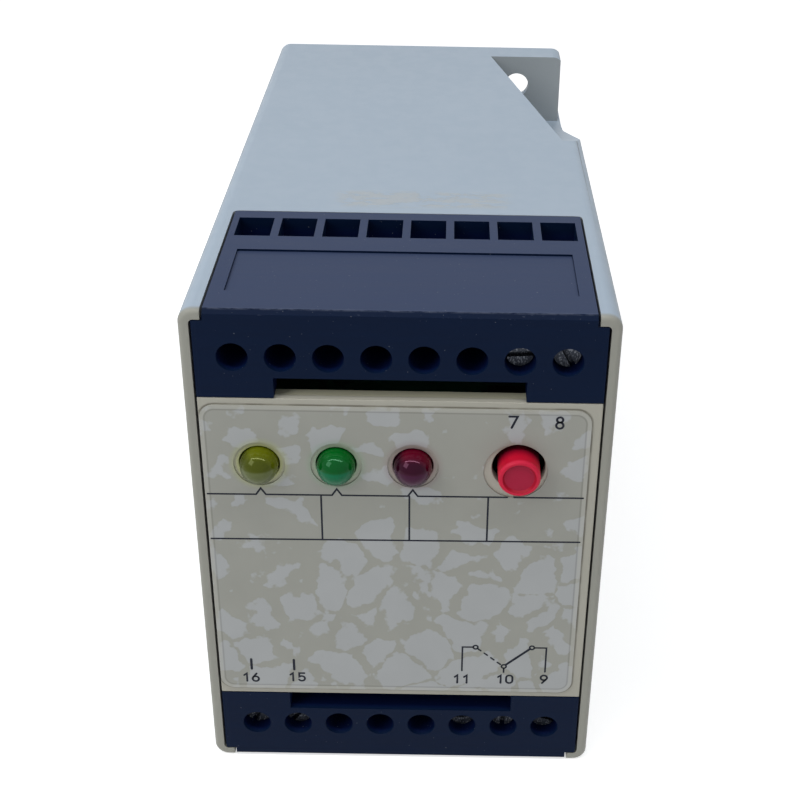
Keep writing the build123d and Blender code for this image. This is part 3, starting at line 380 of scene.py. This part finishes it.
def label_film():
    """Clear film over old glue that has pulled away in rounded cells, with painted coloured light round each
    lamp, and a dark painted shade line and a pale painted highlight along its embossed edge.
    """
    material, tree, shader = new_material("label_film")
    where = position(tree)
    z = axes(tree, where)[2]
    bent = where
    for scale, reach in GLUE_WARPS:
        warp = node(tree, "ShaderNodeTexNoise", {"Vector": where, "Scale": scale, "Detail": 1.0})
        shift = {0: warp.outputs["Color"], 1: (reach, 0.0, reach)}
        shift = node(tree, "ShaderNodeVectorMath", shift, operation="MULTIPLY").outputs["Vector"]
        bent = node(tree, "ShaderNodeVectorMath", {0: bent, 1: shift}, operation="ADD").outputs["Vector"]
    first, second = [node(tree, "ShaderNodeTexVoronoi", {"Vector": bent, "Scale": GLUE_CELLS},
                          feature=feature).outputs["Distance"] for feature in ("F1", "F2")]
    patchy = steps(tree, noise(tree, where, 80.0, 2.0), 0.35, 0.65, -0.1, 0.14, False)
    limit = maths(tree, "ADD", steps(tree, z, 22 * MM, 48 * MM, 0.08, 0.22, False), patchy)
    waves = maths(tree, "MULTIPLY", noise(tree, where, 620.0, 2.0), 0.62)
    gap = maths(tree, "SUBTRACT", maths(tree, "ADD", maths(tree, "SUBTRACT", second, first), waves), 0.31)
    inside = steps(tree, maths(tree, "SUBTRACT", gap, limit), 0.0, 0.08)
    cloud = noise(tree, where, 150.0, 3.0)
    cell = mixed(tree, cloud, colour(160, 163, 164), colour(170, 173, 174))
    vein = mixed(tree, cloud, colour(146, 147, 139), colour(155, 156, 148))
    base = mixed(tree, inside, vein, cell)
    # Painted coloured light from each lamp on the film round it.
    for lamp, glow in PAINTED_LAMP_GLOW.items():
        lamp_light = steps(tree, off_axis(tree, where, centre_of(lamp)), 2.9 * MM, 4.3 * MM, 0.4, 0.0)
        base = mixed(tree, lamp_light, base, glow)
    margin = film_distance(tree, where)
    # Painted shade: a dark line just inside the label's outline, as of an embossed edge.
    pressed_shade = between(tree, margin, -0.75 * MM, -0.55 * MM, 0.08 * MM)
    base = mixed(tree, maths(tree, "MULTIPLY", pressed_shade, 0.35), base, colour(96, 94, 84))
    # Painted highlight: the outermost rim of the label is paler.
    edge_highlight = steps(tree, margin, -0.55 * MM, -0.45 * MM)
    base = mixed(tree, maths(tree, "MULTIPLY", edge_highlight, 0.45), base, colour(182, 181, 172))
    tree.links.new(base, shader.inputs["Base Color"])
    shader.inputs["Roughness"].default_value = 0.3
    shader.inputs["Specular IOR Level"].default_value = 0.5
    height = maths(tree, "ADD", maths(tree, "MULTIPLY", inside, 0.6), noise(tree, where, 200.0, 2.0))
    bumped(tree, shader, height, 1.2e-5)
    return material


def centre_of(name):
    """The middle of a CAD node's box."""
    low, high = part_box(name)
    return (low + high) / 2


def off_axis(tree, where, centre):
    """Distance from an axis that runs along Y through a centre."""
    x, _, z = axes(tree, where)
    across = maths(tree, "SUBTRACT", x, centre.x)
    up = maths(tree, "SUBTRACT", z, centre.z)
    squares = [maths(tree, "MULTIPLY", value, value) for value in (across, up)]
    return maths(tree, "SQRT", maths(tree, "ADD", *squares))


def lens(name, lamp, core, rim, painted_glow, sheen):
    """Deep tinted epoxy of a lamp, with a painted reflection that makes it paler low down and a painted glow
    at its upper right edge.
    """
    material, tree, shader = new_material(name)
    where = position(tree)
    centre = centre_of(lamp)
    edge = centre.z + 0.5 * MM
    x, _, z = axes(tree, where)
    # Painted reflection: the dome is paler low down.
    lower = steps(tree, z, edge - 0.3 * MM, edge + 0.1 * MM, 1.0, 0.0)
    mottle = maths(tree, "MULTIPLY", noise(tree, where, 500.0), 0.12)
    share = maths(tree, "ADD", maths(tree, "MULTIPLY", lower, 0.88), mottle)
    # Painted glow towards the upper right edge.
    middle = centre.x + centre.z
    side = steps(tree, maths(tree, "ADD", x, z), middle - 0.4 * MM, middle + 1.6 * MM)
    outer = steps(tree, off_axis(tree, where, centre), 1.7 * MM, 2.5 * MM, 0.0, 0.8)
    base = mixed(tree, maths(tree, "MULTIPLY", outer, side), mixed(tree, share, core, rim), painted_glow)
    surface(tree, shader, base, noise(tree, where, 900.0), 0.02, 0.03)
    shader.inputs["Specular IOR Level"].default_value = 0.25
    shader.inputs["Specular Tint"].default_value = sheen
    return material


def film_distance(tree, where):
    """Distance outside the label's rounded outline, below 0 on the label."""
    x, _, z = axes(tree, where)
    centre, half = (FILM_LOW + FILM_HIGH) / 2, (FILM_HIGH - FILM_LOW) / 2
    across, up = [
        maths(tree, "SUBTRACT", maths(tree, "ABSOLUTE", maths(tree, "SUBTRACT", value, middle)),
              reach - FILM_CORNER)
        for value, middle, reach in ((x, centre.x, half.x), (z, centre.z, half.z))
    ]
    squares = [maths(tree, "POWER", maths(tree, "MAXIMUM", value, 0.0), 2.0) for value in (across, up)]
    outer = maths(tree, "SQRT", maths(tree, "ADD", *squares))
    inner = maths(tree, "MINIMUM", maths(tree, "MAXIMUM", across, up), 0.0)
    return maths(tree, "SUBTRACT", maths(tree, "ADD", outer, inner), FILM_CORNER)


def plate_plastic():
    """Beige moulding with painted coloured light from each lamp around its hole, painted light on its upward
    faces behind the front, and a darker patchy band round the label's outline.
    """
    material, tree, shader = new_material("plate_plastic")
    where = position(tree)
    base = mixed(tree, noise(tree, where, 120.0), colour(166, 164, 152), colour(172, 170, 158))
    # Painted coloured light from each lamp on the plate round its hole.
    for lamp, glow in PAINTED_LAMP_GLOW.items():
        lamp_light = steps(tree, off_axis(tree, where, centre_of(lamp)), 2.6 * MM, 3.6 * MM, 0.6, 0.0)
        base = mixed(tree, lamp_light, base, glow)
    upward = facing_up(tree)
    # Painted light: upward faces behind the front are lighter and warmer.
    ledge_light = maths(tree, "MULTIPLY", steps(tree, upward, 0.5, 0.9),
                  steps(tree, axes(tree, where)[1], FRONT + 0.8 * MM, FRONT + 1.2 * MM))
    base = mixed(tree, ledge_light, base, colour(222, 219, 190))
    # A darker, patchy band just round the label's outline.
    outline_band = between(tree, film_distance(tree, where), -0.1 * MM, 0.26 * MM, 0.1 * MM)
    patchy = steps(tree, noise(tree, where, 300.0, 3.0), 0.3, 0.6, 0.35, 0.75)
    base = mixed(tree, maths(tree, "MULTIPLY", outline_band, patchy), base, colour(92, 88, 76))
    surface(tree, shader, base, noise(tree, where, 400.0), 0.4, 0.5)
    bumped(tree, shader, noise(tree, where, 1400.0, 2.0), 6e-6)
    return material


def button_plastic():
    """Red cap: a dull dish and a lighter rim that shows wear, with painted shade down its side, round the
    edge of its dish and further back in its hole.
    """
    material, tree, shader = new_material("red_plastic")
    where = position(tree)
    y = axes(tree, where)[1]
    away = off_axis(tree, where, centre_of("button_cap"))
    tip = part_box("button_cap")[0].y
    # Painted shade: the side is a deeper red.
    side = steps(tree, y, tip + 0.25 * MM, tip + 0.6 * MM)
    base = mixed(tree, side, colour(212, 32, 66), colour(196, 6, 44))
    # Painted shade round the edge of the dish.
    wall_shade = steps(tree, away, 2.16 * MM, 2.26 * MM, 1.0, 0.0)
    base = mixed(tree, wall_shade, base, colour(164, 4, 38))
    dish = steps(tree, away, 1.93 * MM, 1.99 * MM, 1.0, 0.0)
    base = mixed(tree, dish, base, colour(172, 28, 62))
    # Painted shade, darker further back in the hole.
    back_shade = steps(tree, y, FRONT - 1.7 * MM, FRONT + 0.5 * MM, 0.0, 0.85)
    base = mixed(tree, back_shade, base, colour(60, 2, 24))
    mottle = maths(tree, "MULTIPLY", noise(tree, where, 900.0, 3.0), 0.12)
    base = mixed(tree, mottle, base, colour(90, 10, 26))
    surface(tree, shader, base, noise(tree, where, 600.0), 0.38, 0.5)
    shader.inputs["Specular IOR Level"].default_value = 0.15
    bumped(tree, shader, noise(tree, where, 1400.0, 2.0), 6e-6)
    return material


def board_laminate():
    """Dark green lacquer over copper tracks that run in two directions."""
    material, tree, shader = new_material("board_laminate")
    where = position(tree)
    lanes = noise(tree, stretched(tree, where, 1, 0.12, 1), 420.0, 0.0)
    rows = noise(tree, stretched(tree, where, 0.12, 1, 1), 420.0, 0.0)
    track = maths(tree, "MAXIMUM", steps(tree, lanes, 0.56, 0.58), steps(tree, rows, 0.58, 0.6))
    base = mixed(tree, track, colour(12, 52, 38), colour(28, 80, 58))
    tree.links.new(base, shader.inputs["Base Color"])
    tree.links.new(steps(tree, track, 0.0, 1.0, 0.42, 0.3), shader.inputs["Roughness"])
    bumped(tree, shader, track, 2e-5)
    return material


def layered(name, base, line, pitch, along, roughness, metallic):
    """Thin layers seen edge on, such as sheet stacks, turns of wire or a ribbon's wires."""
    material, tree, shader = new_material(name)
    where = position(tree)
    scale = 2 * pi / (WAVE_TURN * pitch)
    waves = node(tree, "ShaderNodeTexWave", {"Vector": where, "Scale": scale, "Distortion": 0.0},
                 bands_direction=along)
    cloud = noise(tree, where, 600.0)
    ridge = steps(tree, waves.outputs["Fac"], 0.05, 0.5)
    shade = mixed(tree, maths(tree, "MULTIPLY", cloud, 0.3), mixed(tree, ridge, line, base), line)
    surface(tree, shader, shade, cloud, roughness * 0.8, roughness * 1.2)
    shader.inputs["Metallic"].default_value = metallic
    bumped(tree, shader, ridge, 3e-5)
    return material


# Colours of the painted light that each lamp spills on the label and the plate round it.
PAINTED_LAMP_GLOW = {"lamp_yellow": colour(176, 184, 92), "lamp_green": colour(120, 160, 120),
             "lamp_red": colour(140, 108, 112)}

MATERIALS = {
    "case_plastic": case_plastic(),
    "latch_plastic": plastic("latch_plastic", colour(52, 56, 64), 0.5),
    "block_plastic": block_plastic(),
    "plate_plastic": plate_plastic(),
    "label_film": label_film(),
    "label_ink": plastic("label_ink", colour(30, 33, 44), 0.5, 0.12, specular=0.15),
    # Each lens: its core colour, the paler colour of its painted reflection low down, the colour of its
    # painted glow, and its specular tint.
    "yellow_lens": lens("yellow_lens", "lamp_yellow", colour(64, 71, 0), colour(94, 102, 66),
                        colour(100, 107, 6), (0.9, 1, 0.45, 1)),
    "green_lens": lens("green_lens", "lamp_green", colour(0, 78, 20), colour(2, 102, 66),
                       colour(0, 94, 26), (0.42, 1, 0.65, 1)),
    "red_lens": lens("red_lens", "lamp_red", colour(38, 0, 18), colour(54, 16, 46),
                     colour(96, 0, 28), (1, 0.45, 0.7, 1)),
    "red_plastic": button_plastic(),
    "white_plastic": plastic("white_plastic", colour(214, 214, 208), 0.45),
    "black_plastic": plastic("black_plastic", colour(30, 30, 32), 0.5, 0.1),
    "relay_plastic": plastic("relay_plastic", colour(40, 84, 140), 0.38),
    "capacitor_sleeve": plastic("capacitor_sleeve", colour(36, 42, 70), 0.28, 0.08),
    "film_capacitor_plastic": plastic("film_capacitor_plastic", colour(196, 160, 52), 0.34),
    "varistor_lacquer": plastic("varistor_lacquer", colour(44, 92, 150), 0.25, 0.08, 500.0, 2e-5),
    "resistor_lacquer": plastic("resistor_lacquer", colour(116, 158, 172), 0.3, 0.06, 700.0, 1e-5),
    "ceramic_lacquer": plastic("ceramic_lacquer", colour(196, 132, 66), 0.35, 0.08, 700.0, 2e-5),
    "ribbon_plastic": layered("ribbon_plastic", colour(150, 152, 154), colour(96, 98, 102),
                              1.27 * MM, "X", 0.45, 0.0),
    "board_laminate": board_laminate(),
    "screw_steel": screw_steel(),
    "spring_steel": metal("spring_steel", colour(176, 176, 178), 0.3),
    "tinned_wire": metal("tinned_wire", colour(188, 188, 186), 0.34),
    "tinned_brass": metal("tinned_brass", colour(190, 182, 158), 0.38),
    "lamination_steel": layered("lamination_steel", colour(92, 92, 96), colour(44, 42, 42),
                                0.5 * MM, "Y", 0.45, 0.8),
    "winding_wire": layered("winding_wire", colour(196, 104, 52), colour(96, 40, 16),
                            0.32 * MM, "Z", 0.32, 0.7),
}

NODE_SLOTS = {part["node"]: part["material_slot"] for part in frame["record"]["subparts"]}
for name, cad in frame["nodes"].items():
    cad.data.materials.clear()
    cad.data.materials.append(MATERIALS[NODE_SLOTS[name]])


# Softer edges on the moulded pieces

EDGE_BREAKS = {
    "housing": 0.12, "upper_terminal_block": 0.12, "lower_terminal_block": 0.12, "front_plate": 0.12,
    "rail_latch": 0.2, "upper_terminal_sleeves": 0.08, "lower_terminal_sleeves": 0.08,
    "relay": 0.1, "transformer_bobbin": 0.1, "main_board": 0.05, "display_board": 0.05,
    "comparator_chip": 0.1, "voltage_regulator": 0.1, "lower_header": 0.1, "upper_header": 0.1,
}

for name, width in EDGE_BREAKS.items():
    cad = frame["nodes"][name]
    weld = cad.modifiers.new("weld", "WELD")
    weld.merge_threshold = WELD_REACH
    flat = cad.modifiers.new("flat", "DECIMATE")
    flat.decimate_type = "DISSOLVE"
    flat.angle_limit = FLAT_ANGLE
    bevel = cad.modifiers.new("edges", "BEVEL")
    bevel.width = width * MM
    bevel.segments = EDGE_SEGMENTS
    bevel.limit_method = "ANGLE"
    bevel.angle_limit = EDGE_ANGLE
    bevel.harden_normals = True
    bevel.use_clamp_overlap = True


# New pieces

def piece(name, vertices, faces, material, slot, body="case", smooth=True):
    """A mesh in the CAD frame that rides on a body and takes the given material; its slot is not used."""
    mesh = bpy.data.meshes.new(name)
    mesh.from_pydata([tuple(v) for v in vertices], [], faces)
    mesh.validate()
    made = bpy.data.objects.new(name, mesh)
    bpy.context.scene.collection.objects.link(made)
    mesh.materials.append(MATERIALS[material])
    if smooth:
        mesh.shade_smooth()
        mesh.set_sharp_from_angle(angle=SHARP_ANGLE)
    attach(made, body)
    return made


def joined(*parts):
    """Several (vertices, faces) pairs as one."""
    vertices, faces = [], []
    for part_vertices, part_faces in parts:
        start = len(vertices)
        vertices += part_vertices
        faces += [tuple(start + index for index in face) for face in part_faces]
    return vertices, faces


def lathe_y(profile, x, z, segments=64):
    """A profile of (radius, y) points turned about an axis along Y; a radius of 0 closes it."""
    vertices, rings = [], []
    for radius, y in profile:
        if radius == 0:
            rings.append([len(vertices)])
            vertices.append((x, y, z))
        else:
            rings.append(range(len(vertices), len(vertices) + segments))
            turns = [2 * pi * i / segments for i in range(segments)]
            vertices += [(x + radius * cos(turn), y, z + radius * sin(turn)) for turn in turns]
    faces = []
    for first, second in zip(rings, rings[1:]):
        for i in range(segments):
            j = (i + 1) % segments
            corners = [second[i % len(second)], second[j % len(second)], first[j % len(first)],
                       first[i % len(first)]]
            face = tuple(dict.fromkeys(corners))
            if len(face) > 2:
                faces.append(face)
    return vertices, faces


def arc(x, z, radius, start, end, count=12):
    """Points on a circle from one angle to another, in degrees."""
    angles = [radians(start + (end - start) * i / count) for i in range(count + 1)]
    return [(x + radius * cos(angle), z + radius * sin(angle)) for angle in angles]


# Print on the label: frame lines, plain numbers and the contact symbol

def stroke(points, width, proud=INK_HEIGHT):
    """A printed line through (x, z) points in millimetres, with round ends, just proud of the film."""
    closed = hypot(points[0][0] - points[-1][0], points[0][1] - points[-1][1]) < SAME_PLACE
    if closed:
        points = points[:-1]
    half, count = width / 2, len(points)
    headings = []
    for (x0, z0), (x1, z1) in zip(points, points[1:] + points[:1]):
        length = hypot(x1 - x0, z1 - z0)
        headings.append(((x1 - x0) / length, (z1 - z0) / length))
    if not closed:
        headings[-1] = headings[-2]
    sections = []
    for index, (x, z) in enumerate(points):
        before = headings[index - 1] if closed or index else headings[0]
        after = headings[index]
        along_x, along_z = before[0] + after[0], before[1] + after[1]
        length = hypot(along_x, along_z)
        reach = half * min(2 / length, MITRE_LIMIT) / length
        sections.append((x, z, -along_z * reach, along_x * reach))
    if not closed:
        for turned in ROUND_END:
            forward, across = half * sin(radians(turned)), half * cos(radians(turned))
            (x0, z0), (x1, z1) = points[0], points[-1]
            (first_x, first_z), (last_x, last_z) = headings[0], headings[-1]
            sections.insert(0, (x0 - first_x * forward, z0 - first_z * forward,
                                -first_z * across, first_x * across))
            sections.append((x1 + last_x * forward, z1 + last_z * forward,
                             -last_z * across, last_x * across))
    back, front = FILM_LOW.y, FILM_LOW.y - proud * MM
    vertices = [((x + side * across_x) * MM, y, (z + side * across_z) * MM)
                for x, z, across_x, across_z in sections
                for side, y in ((-1, front), (1, front), (1, back), (-1, back))]
    total = len(sections)
    faces = []
    for index in range(total if closed else total - 1):
        here, there = 4 * index, 4 * ((index + 1) % total)
        faces += [(here + k, there + k, there + (k + 1) % 4, here + (k + 1) % 4) for k in range(4)]
    if not closed:
        faces += [(0, 1, 2, 3), tuple(4 * (total - 1) + k for k in (3, 2, 1, 0))]
    return vertices, faces


def digit(symbol):
    """The strokes of a plain number, one unit high."""
    span, half = DIGIT_SPAN, DIGIT_SPAN / 2
    shapes = {
        "0": [arc(half, 1 - half, half, 0, 180) + arc(half, half, half, 180, 360) + [(span, 1 - half)]],
        "1": [[(0.12, 0.76), (0.38, 1.0), (0.38, 0.0)]],
        "5": [[(span - 0.04, 1.0), (0.08, 1.0)] + arc(half, half, half, 140, -150)],
        "6": [[(0.42, 1.0)] + arc(half, half, half, 150, 500, 20)],
        "7": [[(0.0, 1.0), (span, 1.0), (0.2, 0.0)]],
        "8": [arc(half, 0.27, 0.27, 90, 450, 20), arc(half, 0.77, 0.23, -90, 270, 20)],
        "9": [[(0.16, 0.0)] + arc(half, 1 - half, half, -30, 320, 20)],
    }
    return shapes[symbol]


def number(text, x, z, height):
    """A plain number centred on a place, in millimetres."""
    pitch = DIGIT_PITCH * height
    start, low = x - (pitch * (len(text) - 1) + DIGIT_SPAN * height) / 2, z - height / 2
    return [stroke([(start + index * pitch + across * height, low + up * height) for across, up in line],
                   DIGIT_WIDTH)
            for index, symbol in enumerate(text) for line in digit(symbol)]


def field_line(x, left, right):
    """Height at x of a slightly crooked line across the field."""
    return left + (right - left) * (x - FIELD_LEFT) / (FIELD_RIGHT - FIELD_LEFT)


def field_top(x):
    """Height of the field's upper line at x."""
    return field_line(x, FIELD_TOP_LEFT, FIELD_TOP_RIGHT)


def field_low(x):
    """Height of the field's lower line at x."""
    return field_line(x, FIELD_LOW_LEFT, FIELD_LOW_RIGHT)


def contact_symbol():
    """Thin lines of the change-over contact between the output terminals."""
    (open_x, open_z), (shut_x, shut_z), (pivot_x, pivot_z) = CONTACT_OPEN, CONTACT_SHUT, CONTACT_PIVOT
    rings = [arc(x, z, CONTACT_RING, 0, 360, 16) for x, z in (CONTACT_OPEN, CONTACT_SHUT, CONTACT_PIVOT)]
    lines = [
        [(CONTACT_LEFT, CONTACT_LOW), (CONTACT_LEFT, open_z), (open_x - RING_REACH, open_z)], rings[0],
        [(CONTACT_RIGHT, CONTACT_LOW), (CONTACT_RIGHT, shut_z), (shut_x + RING_REACH, shut_z)], rings[1],
        rings[2], [(pivot_x, pivot_z - RING_REACH), (pivot_x, PIVOT_LOW)],
    ]
    for index in range(DASH_COUNT):
        x, z = [start + index * pitch for start, pitch in zip(DASH_START, DASH_PITCH)]
        lines.append([(x, z), (x + DASH_REACH[0], z + DASH_REACH[1])])
    return lines


def label_print():
    """Every printed stroke on the label, as one mesh."""
    peaks = []
    for lamp in [f"lamp_{tone}" for tone in LAMP_TONES]:
        low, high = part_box(lamp)
        centre = (low.x + high.x) / 2 / MM
        start, end = centre - PEAK_HALF, centre + PEAK_HALF
        tip = field_top(centre) + PEAK_HEIGHT
        peaks += [(start, field_top(start)), (centre, tip), (end, field_top(end))]
    gap_start, gap_end = BUTTON_GAP
    lines = [
        [(FIELD_LEFT, FIELD_TOP_LEFT)] + peaks + [(gap_start, field_top(gap_start))],
        [(gap_end, field_top(gap_end)), (FIELD_RIGHT, FIELD_TOP_RIGHT)],
        [(FIELD_LEFT, FIELD_LOW_LEFT), (FIELD_RIGHT, FIELD_LOW_RIGHT)],
    ]
    parts = [stroke(line, LINE_WIDTH) for line in lines + contact_symbol()]
    parts += [stroke([(x, field_low(x)), (x, field_top(x))], LINE_WIDTH, CROSSING_HEIGHT) for x in DIVIDERS]
    parts.append(stroke(BLADE, BLADE_WIDTH, CROSSING_HEIGHT))
    parts += [stroke([(x, FEED_MARK_LOW), (x, FEED_MARK_HIGH)], BLADE_WIDTH) for x in FEED_MARKS]
    for text, x, z, height in NUMBERS:
        parts += number(text, x, z, height)
    return joined(*parts)


piece("label_print", *label_print(), "label_ink", "label_film", smooth=False)


# Lamps: a tinted lens, and the lead frame in it

def lamp_lens(node_name):
    """Domed lens with its flange, in the lamp's box."""
    low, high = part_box(node_name)
    x, z = (low.x + high.x) / 2, (low.z + high.z) / 2
    tip, end, flange = low.y, high.y, (high.x - low.x) / 2
    dome = [(LENS_RADIUS * sin(radians(a)), tip + LENS_RADIUS * (1 - cos(radians(a))))
            for a in range(0, 91, LENS_STEP)]
    dome[0] = (0, tip)
    shoulder = end - FLANGE_THICKNESS
    profile = dome + [
        (LENS_RADIUS, shoulder - FLANGE_FILLET), (LENS_RADIUS + FLANGE_FILLET, shoulder),
        (flange - FLANGE_EDGE, shoulder), (flange, shoulder + FLANGE_EDGE), (flange, end), (0, end),
    ]
    return lathe_y(profile, x, z, LENS_SIDES)


def slab(low, high):
    """A box from two corners, as (vertices, faces)."""
    corners = [(x, y, z) for x in (low[0], high[0]) for y in (low[1], high[1]) for z in (low[2], high[2])]
    faces = [(0, 1, 3, 2), (4, 6, 7, 5), (0, 4, 5, 1), (2, 3, 7, 6), (0, 2, 6, 4), (1, 5, 7, 3)]
    return corners, faces


def lamp_frame(node_name):
    """The reflector cup on one lead and the post on the other."""
    low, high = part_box(node_name)
    x, z = (low.x + high.x) / 2, (low.z + high.z) / 2
    tip, end = low.y + FRAME_START, high.y - FRAME_END
    profile = [(radius * MM, tip + depth * MM) for radius, depth in CUP_PROFILE]
    leads = [slab((x + left, tip + start, z - LEAD_HALF), (x + right, end, z + LEAD_HALF))
             for left, right, start in (STEM, POST)]
    return joined(lathe_y(profile, x + CUP_AXIS, z, CUP_SIDES), *leads)


for tone in LAMP_TONES:
    cad_name = f"lamp_{tone}"
    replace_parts(piece(f"lamp_{tone}_lens", *lamp_lens(cad_name), f"{tone}_lens", f"{tone}_lens"), cad_name)
    piece(f"lamp_{tone}_frame", *lamp_frame(cad_name), "tinned_wire", "tinned_wire")


# Springs: round wire with closed end turns

def coil_spring(node_name, along, wire, turns, fixed_high):
    """A spring wound along one axis of a CAD spring's box, a little short of its free end."""
    low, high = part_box(node_name)
    centre = (low + high) / 2
    across = [index for index in range(3) if index != along]
    radius = min(high[index] - low[index] for index in across) / 2 - wire / 2
    start, end = low[along] + wire / 2, high[along] - wire / 2
    if fixed_high:
        start += SPRING_GAP
    else:
        end -= SPRING_GAP
    closed = SPRING_CLOSE * wire
    step = (end - start - 2 * closed) / (turns - 2)
    sides, count = SPRING_SIDES, turns * SPRING_STEPS
    vertices = []
    for index in range(count + 1):
        turn = turns * index / count
        height = start + closed * min(turn, 1) + step * min(max(turn - 1, 0), turns - 2)
        height += closed * max(turn - (turns - 1), 0)
        angle = 2 * pi * turn
        for side in range(sides):
            around = 2 * pi * side / sides
            reach = radius + wire / 2 * cos(around)
            point = [0, 0, 0]
            point[across[0]] = centre[across[0]] + reach * cos(angle)
            point[across[1]] = centre[across[1]] + reach * sin(angle)
            point[along] = height + wire / 2 * sin(around)
            vertices.append(tuple(point))
    faces = [(ring * sides + side, ring * sides + (side + 1) % sides,
              (ring + 1) * sides + (side + 1) % sides, (ring + 1) * sides + side)
             for ring in range(count) for side in range(sides)]
    faces += [tuple(range(sides)), tuple(count * sides + side for side in reversed(range(sides)))]
    if along == AXIS_Z:
        faces = [tuple(reversed(face)) for face in faces]
    return vertices, faces


def pressed_spring(node_name, along, wire, turns, fixed_high):
    """A spring of round wire in place of a CAD spring, which it hides."""
    low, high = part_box(node_name)
    anchor = (low + high) / 2
    anchor[along] = high[along] if fixed_high else low[along]
    made = piece(f"{node_name}_wire", *coil_spring(node_name, along, wire, turns, fixed_high),
                 "spring_steel", "spring_steel")
    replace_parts(made, node_name)
    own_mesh(made)


pressed_spring("button_spring", AXIS_Y, BUTTON_WIRE, SPRING_TURNS, True)
pressed_spring("latch_spring", AXIS_Z, LATCH_WIRE, SPRING_TURNS, False)


# Floor, light and camera

def seen_directly(tree):
    """1 for rays from the camera, a mirror or glass, and 0 for light that falls on the object."""
    path = node(tree, "ShaderNodeLightPath")
    shiny = maths(tree, "MAXIMUM", path.outputs["Is Glossy Ray"], path.outputs["Is Transmission Ray"])
    return maths(tree, "MAXIMUM", path.outputs["Is Camera Ray"], shiny)


def floor():
    """A pale floor that looks white and keeps the object's shadow."""
    mesh = bpy.data.meshes.new("floor")
    reach = FLOOR_REACH
    corners = [(-reach, -reach, 0), (reach, -reach, 0), (reach, reach, 0), (-reach, reach, 0)]
    mesh.from_pydata(corners, [], [(0, 1, 2, 3)])
    made = bpy.data.objects.new("floor", mesh)
    bpy.context.scene.collection.objects.link(made)
    material, tree, shader = new_material("floor")
    cloud = noise(tree, position(tree), 6.0)
    tree.links.new(mixed(tree, cloud, FLOOR_DARK, FLOOR_LIGHT), shader.inputs["Base Color"])
    shader.inputs["Roughness"].default_value = 0.9
    strength = maths(tree, "MULTIPLY", seen_directly(tree), FLOOR_GLOW)
    glow = node(tree, "ShaderNodeEmission", {"Color": (1, 1, 1, 1), "Strength": strength})
    both = node(tree, "ShaderNodeAddShader", {0: shader.outputs["BSDF"], 1: glow.outputs["Emission"]})
    tree.links.new(both.outputs["Shader"], tree.nodes["Material Output"].inputs["Surface"])
    mesh.materials.append(material)


def world(left, right):
    """White where it is seen, and as a light a little stronger from the left than from the right."""
    made = bpy.data.worlds.new("world")
    bpy.context.scene.world = made
    made.use_nodes = True
    tree = made.node_tree
    background = tree.nodes["Background"]
    background.inputs["Color"].default_value = WORLD_COLOUR
    x = axes(tree, node(tree, "ShaderNodeTexCoord").outputs["Generated"])[0]
    light = steps(tree, x, -1.0, 1.0, left, right, False)
    tree.links.new(maths(tree, "MAXIMUM", light, seen_directly(tree)), background.inputs["Strength"])


def area_light(name, place, size, power):
    """A rectangular lamp that faces the object."""
    light = bpy.data.lights.new(name, "AREA")
    light.shape = "RECTANGLE"
    light.size, light.size_y = size
    light.energy = power
    made = bpy.data.objects.new(name, light)
    made.location = place
    made.rotation_euler = (Vector(LIGHT_TARGET) - Vector(place)).to_track_quat("-Z", "Y").to_euler()
    bpy.context.scene.collection.objects.link(made)


def camera():
    """The fitted camera of the photograph."""
    data = bpy.data.cameras.new("camera")
    data.sensor_width = CAMERA_SENSOR
    data.lens = CAMERA_LENS
    data.shift_x, data.shift_y = CAMERA_SHIFT
    data.clip_start = CAMERA_NEAR
    made = bpy.data.objects.new("camera", data)
    bpy.context.scene.collection.objects.link(made)
    level = Matrix.Rotation(radians(90), 4, "X")
    turn = (Matrix.Rotation(CAMERA_YAW, 4, "Z") @ Matrix.Rotation(CAMERA_PITCH, 4, "X")
            @ Matrix.Rotation(CAMERA_ROLL, 4, "Y") @ level)
    made.matrix_world = Matrix.Translation(CAMERA_PLACE) @ turn
    bpy.context.scene.camera = made


floor()
world(WORLD_LEFT, WORLD_RIGHT)
area_light("bar", BAR_PLACE, BAR_SIZE, BAR_POWER)
area_light("softbox", SOFTBOX_PLACE, SOFTBOX_SIZE, SOFTBOX_POWER)
camera()
bpy.context.scene.view_settings.view_transform = "Standard"
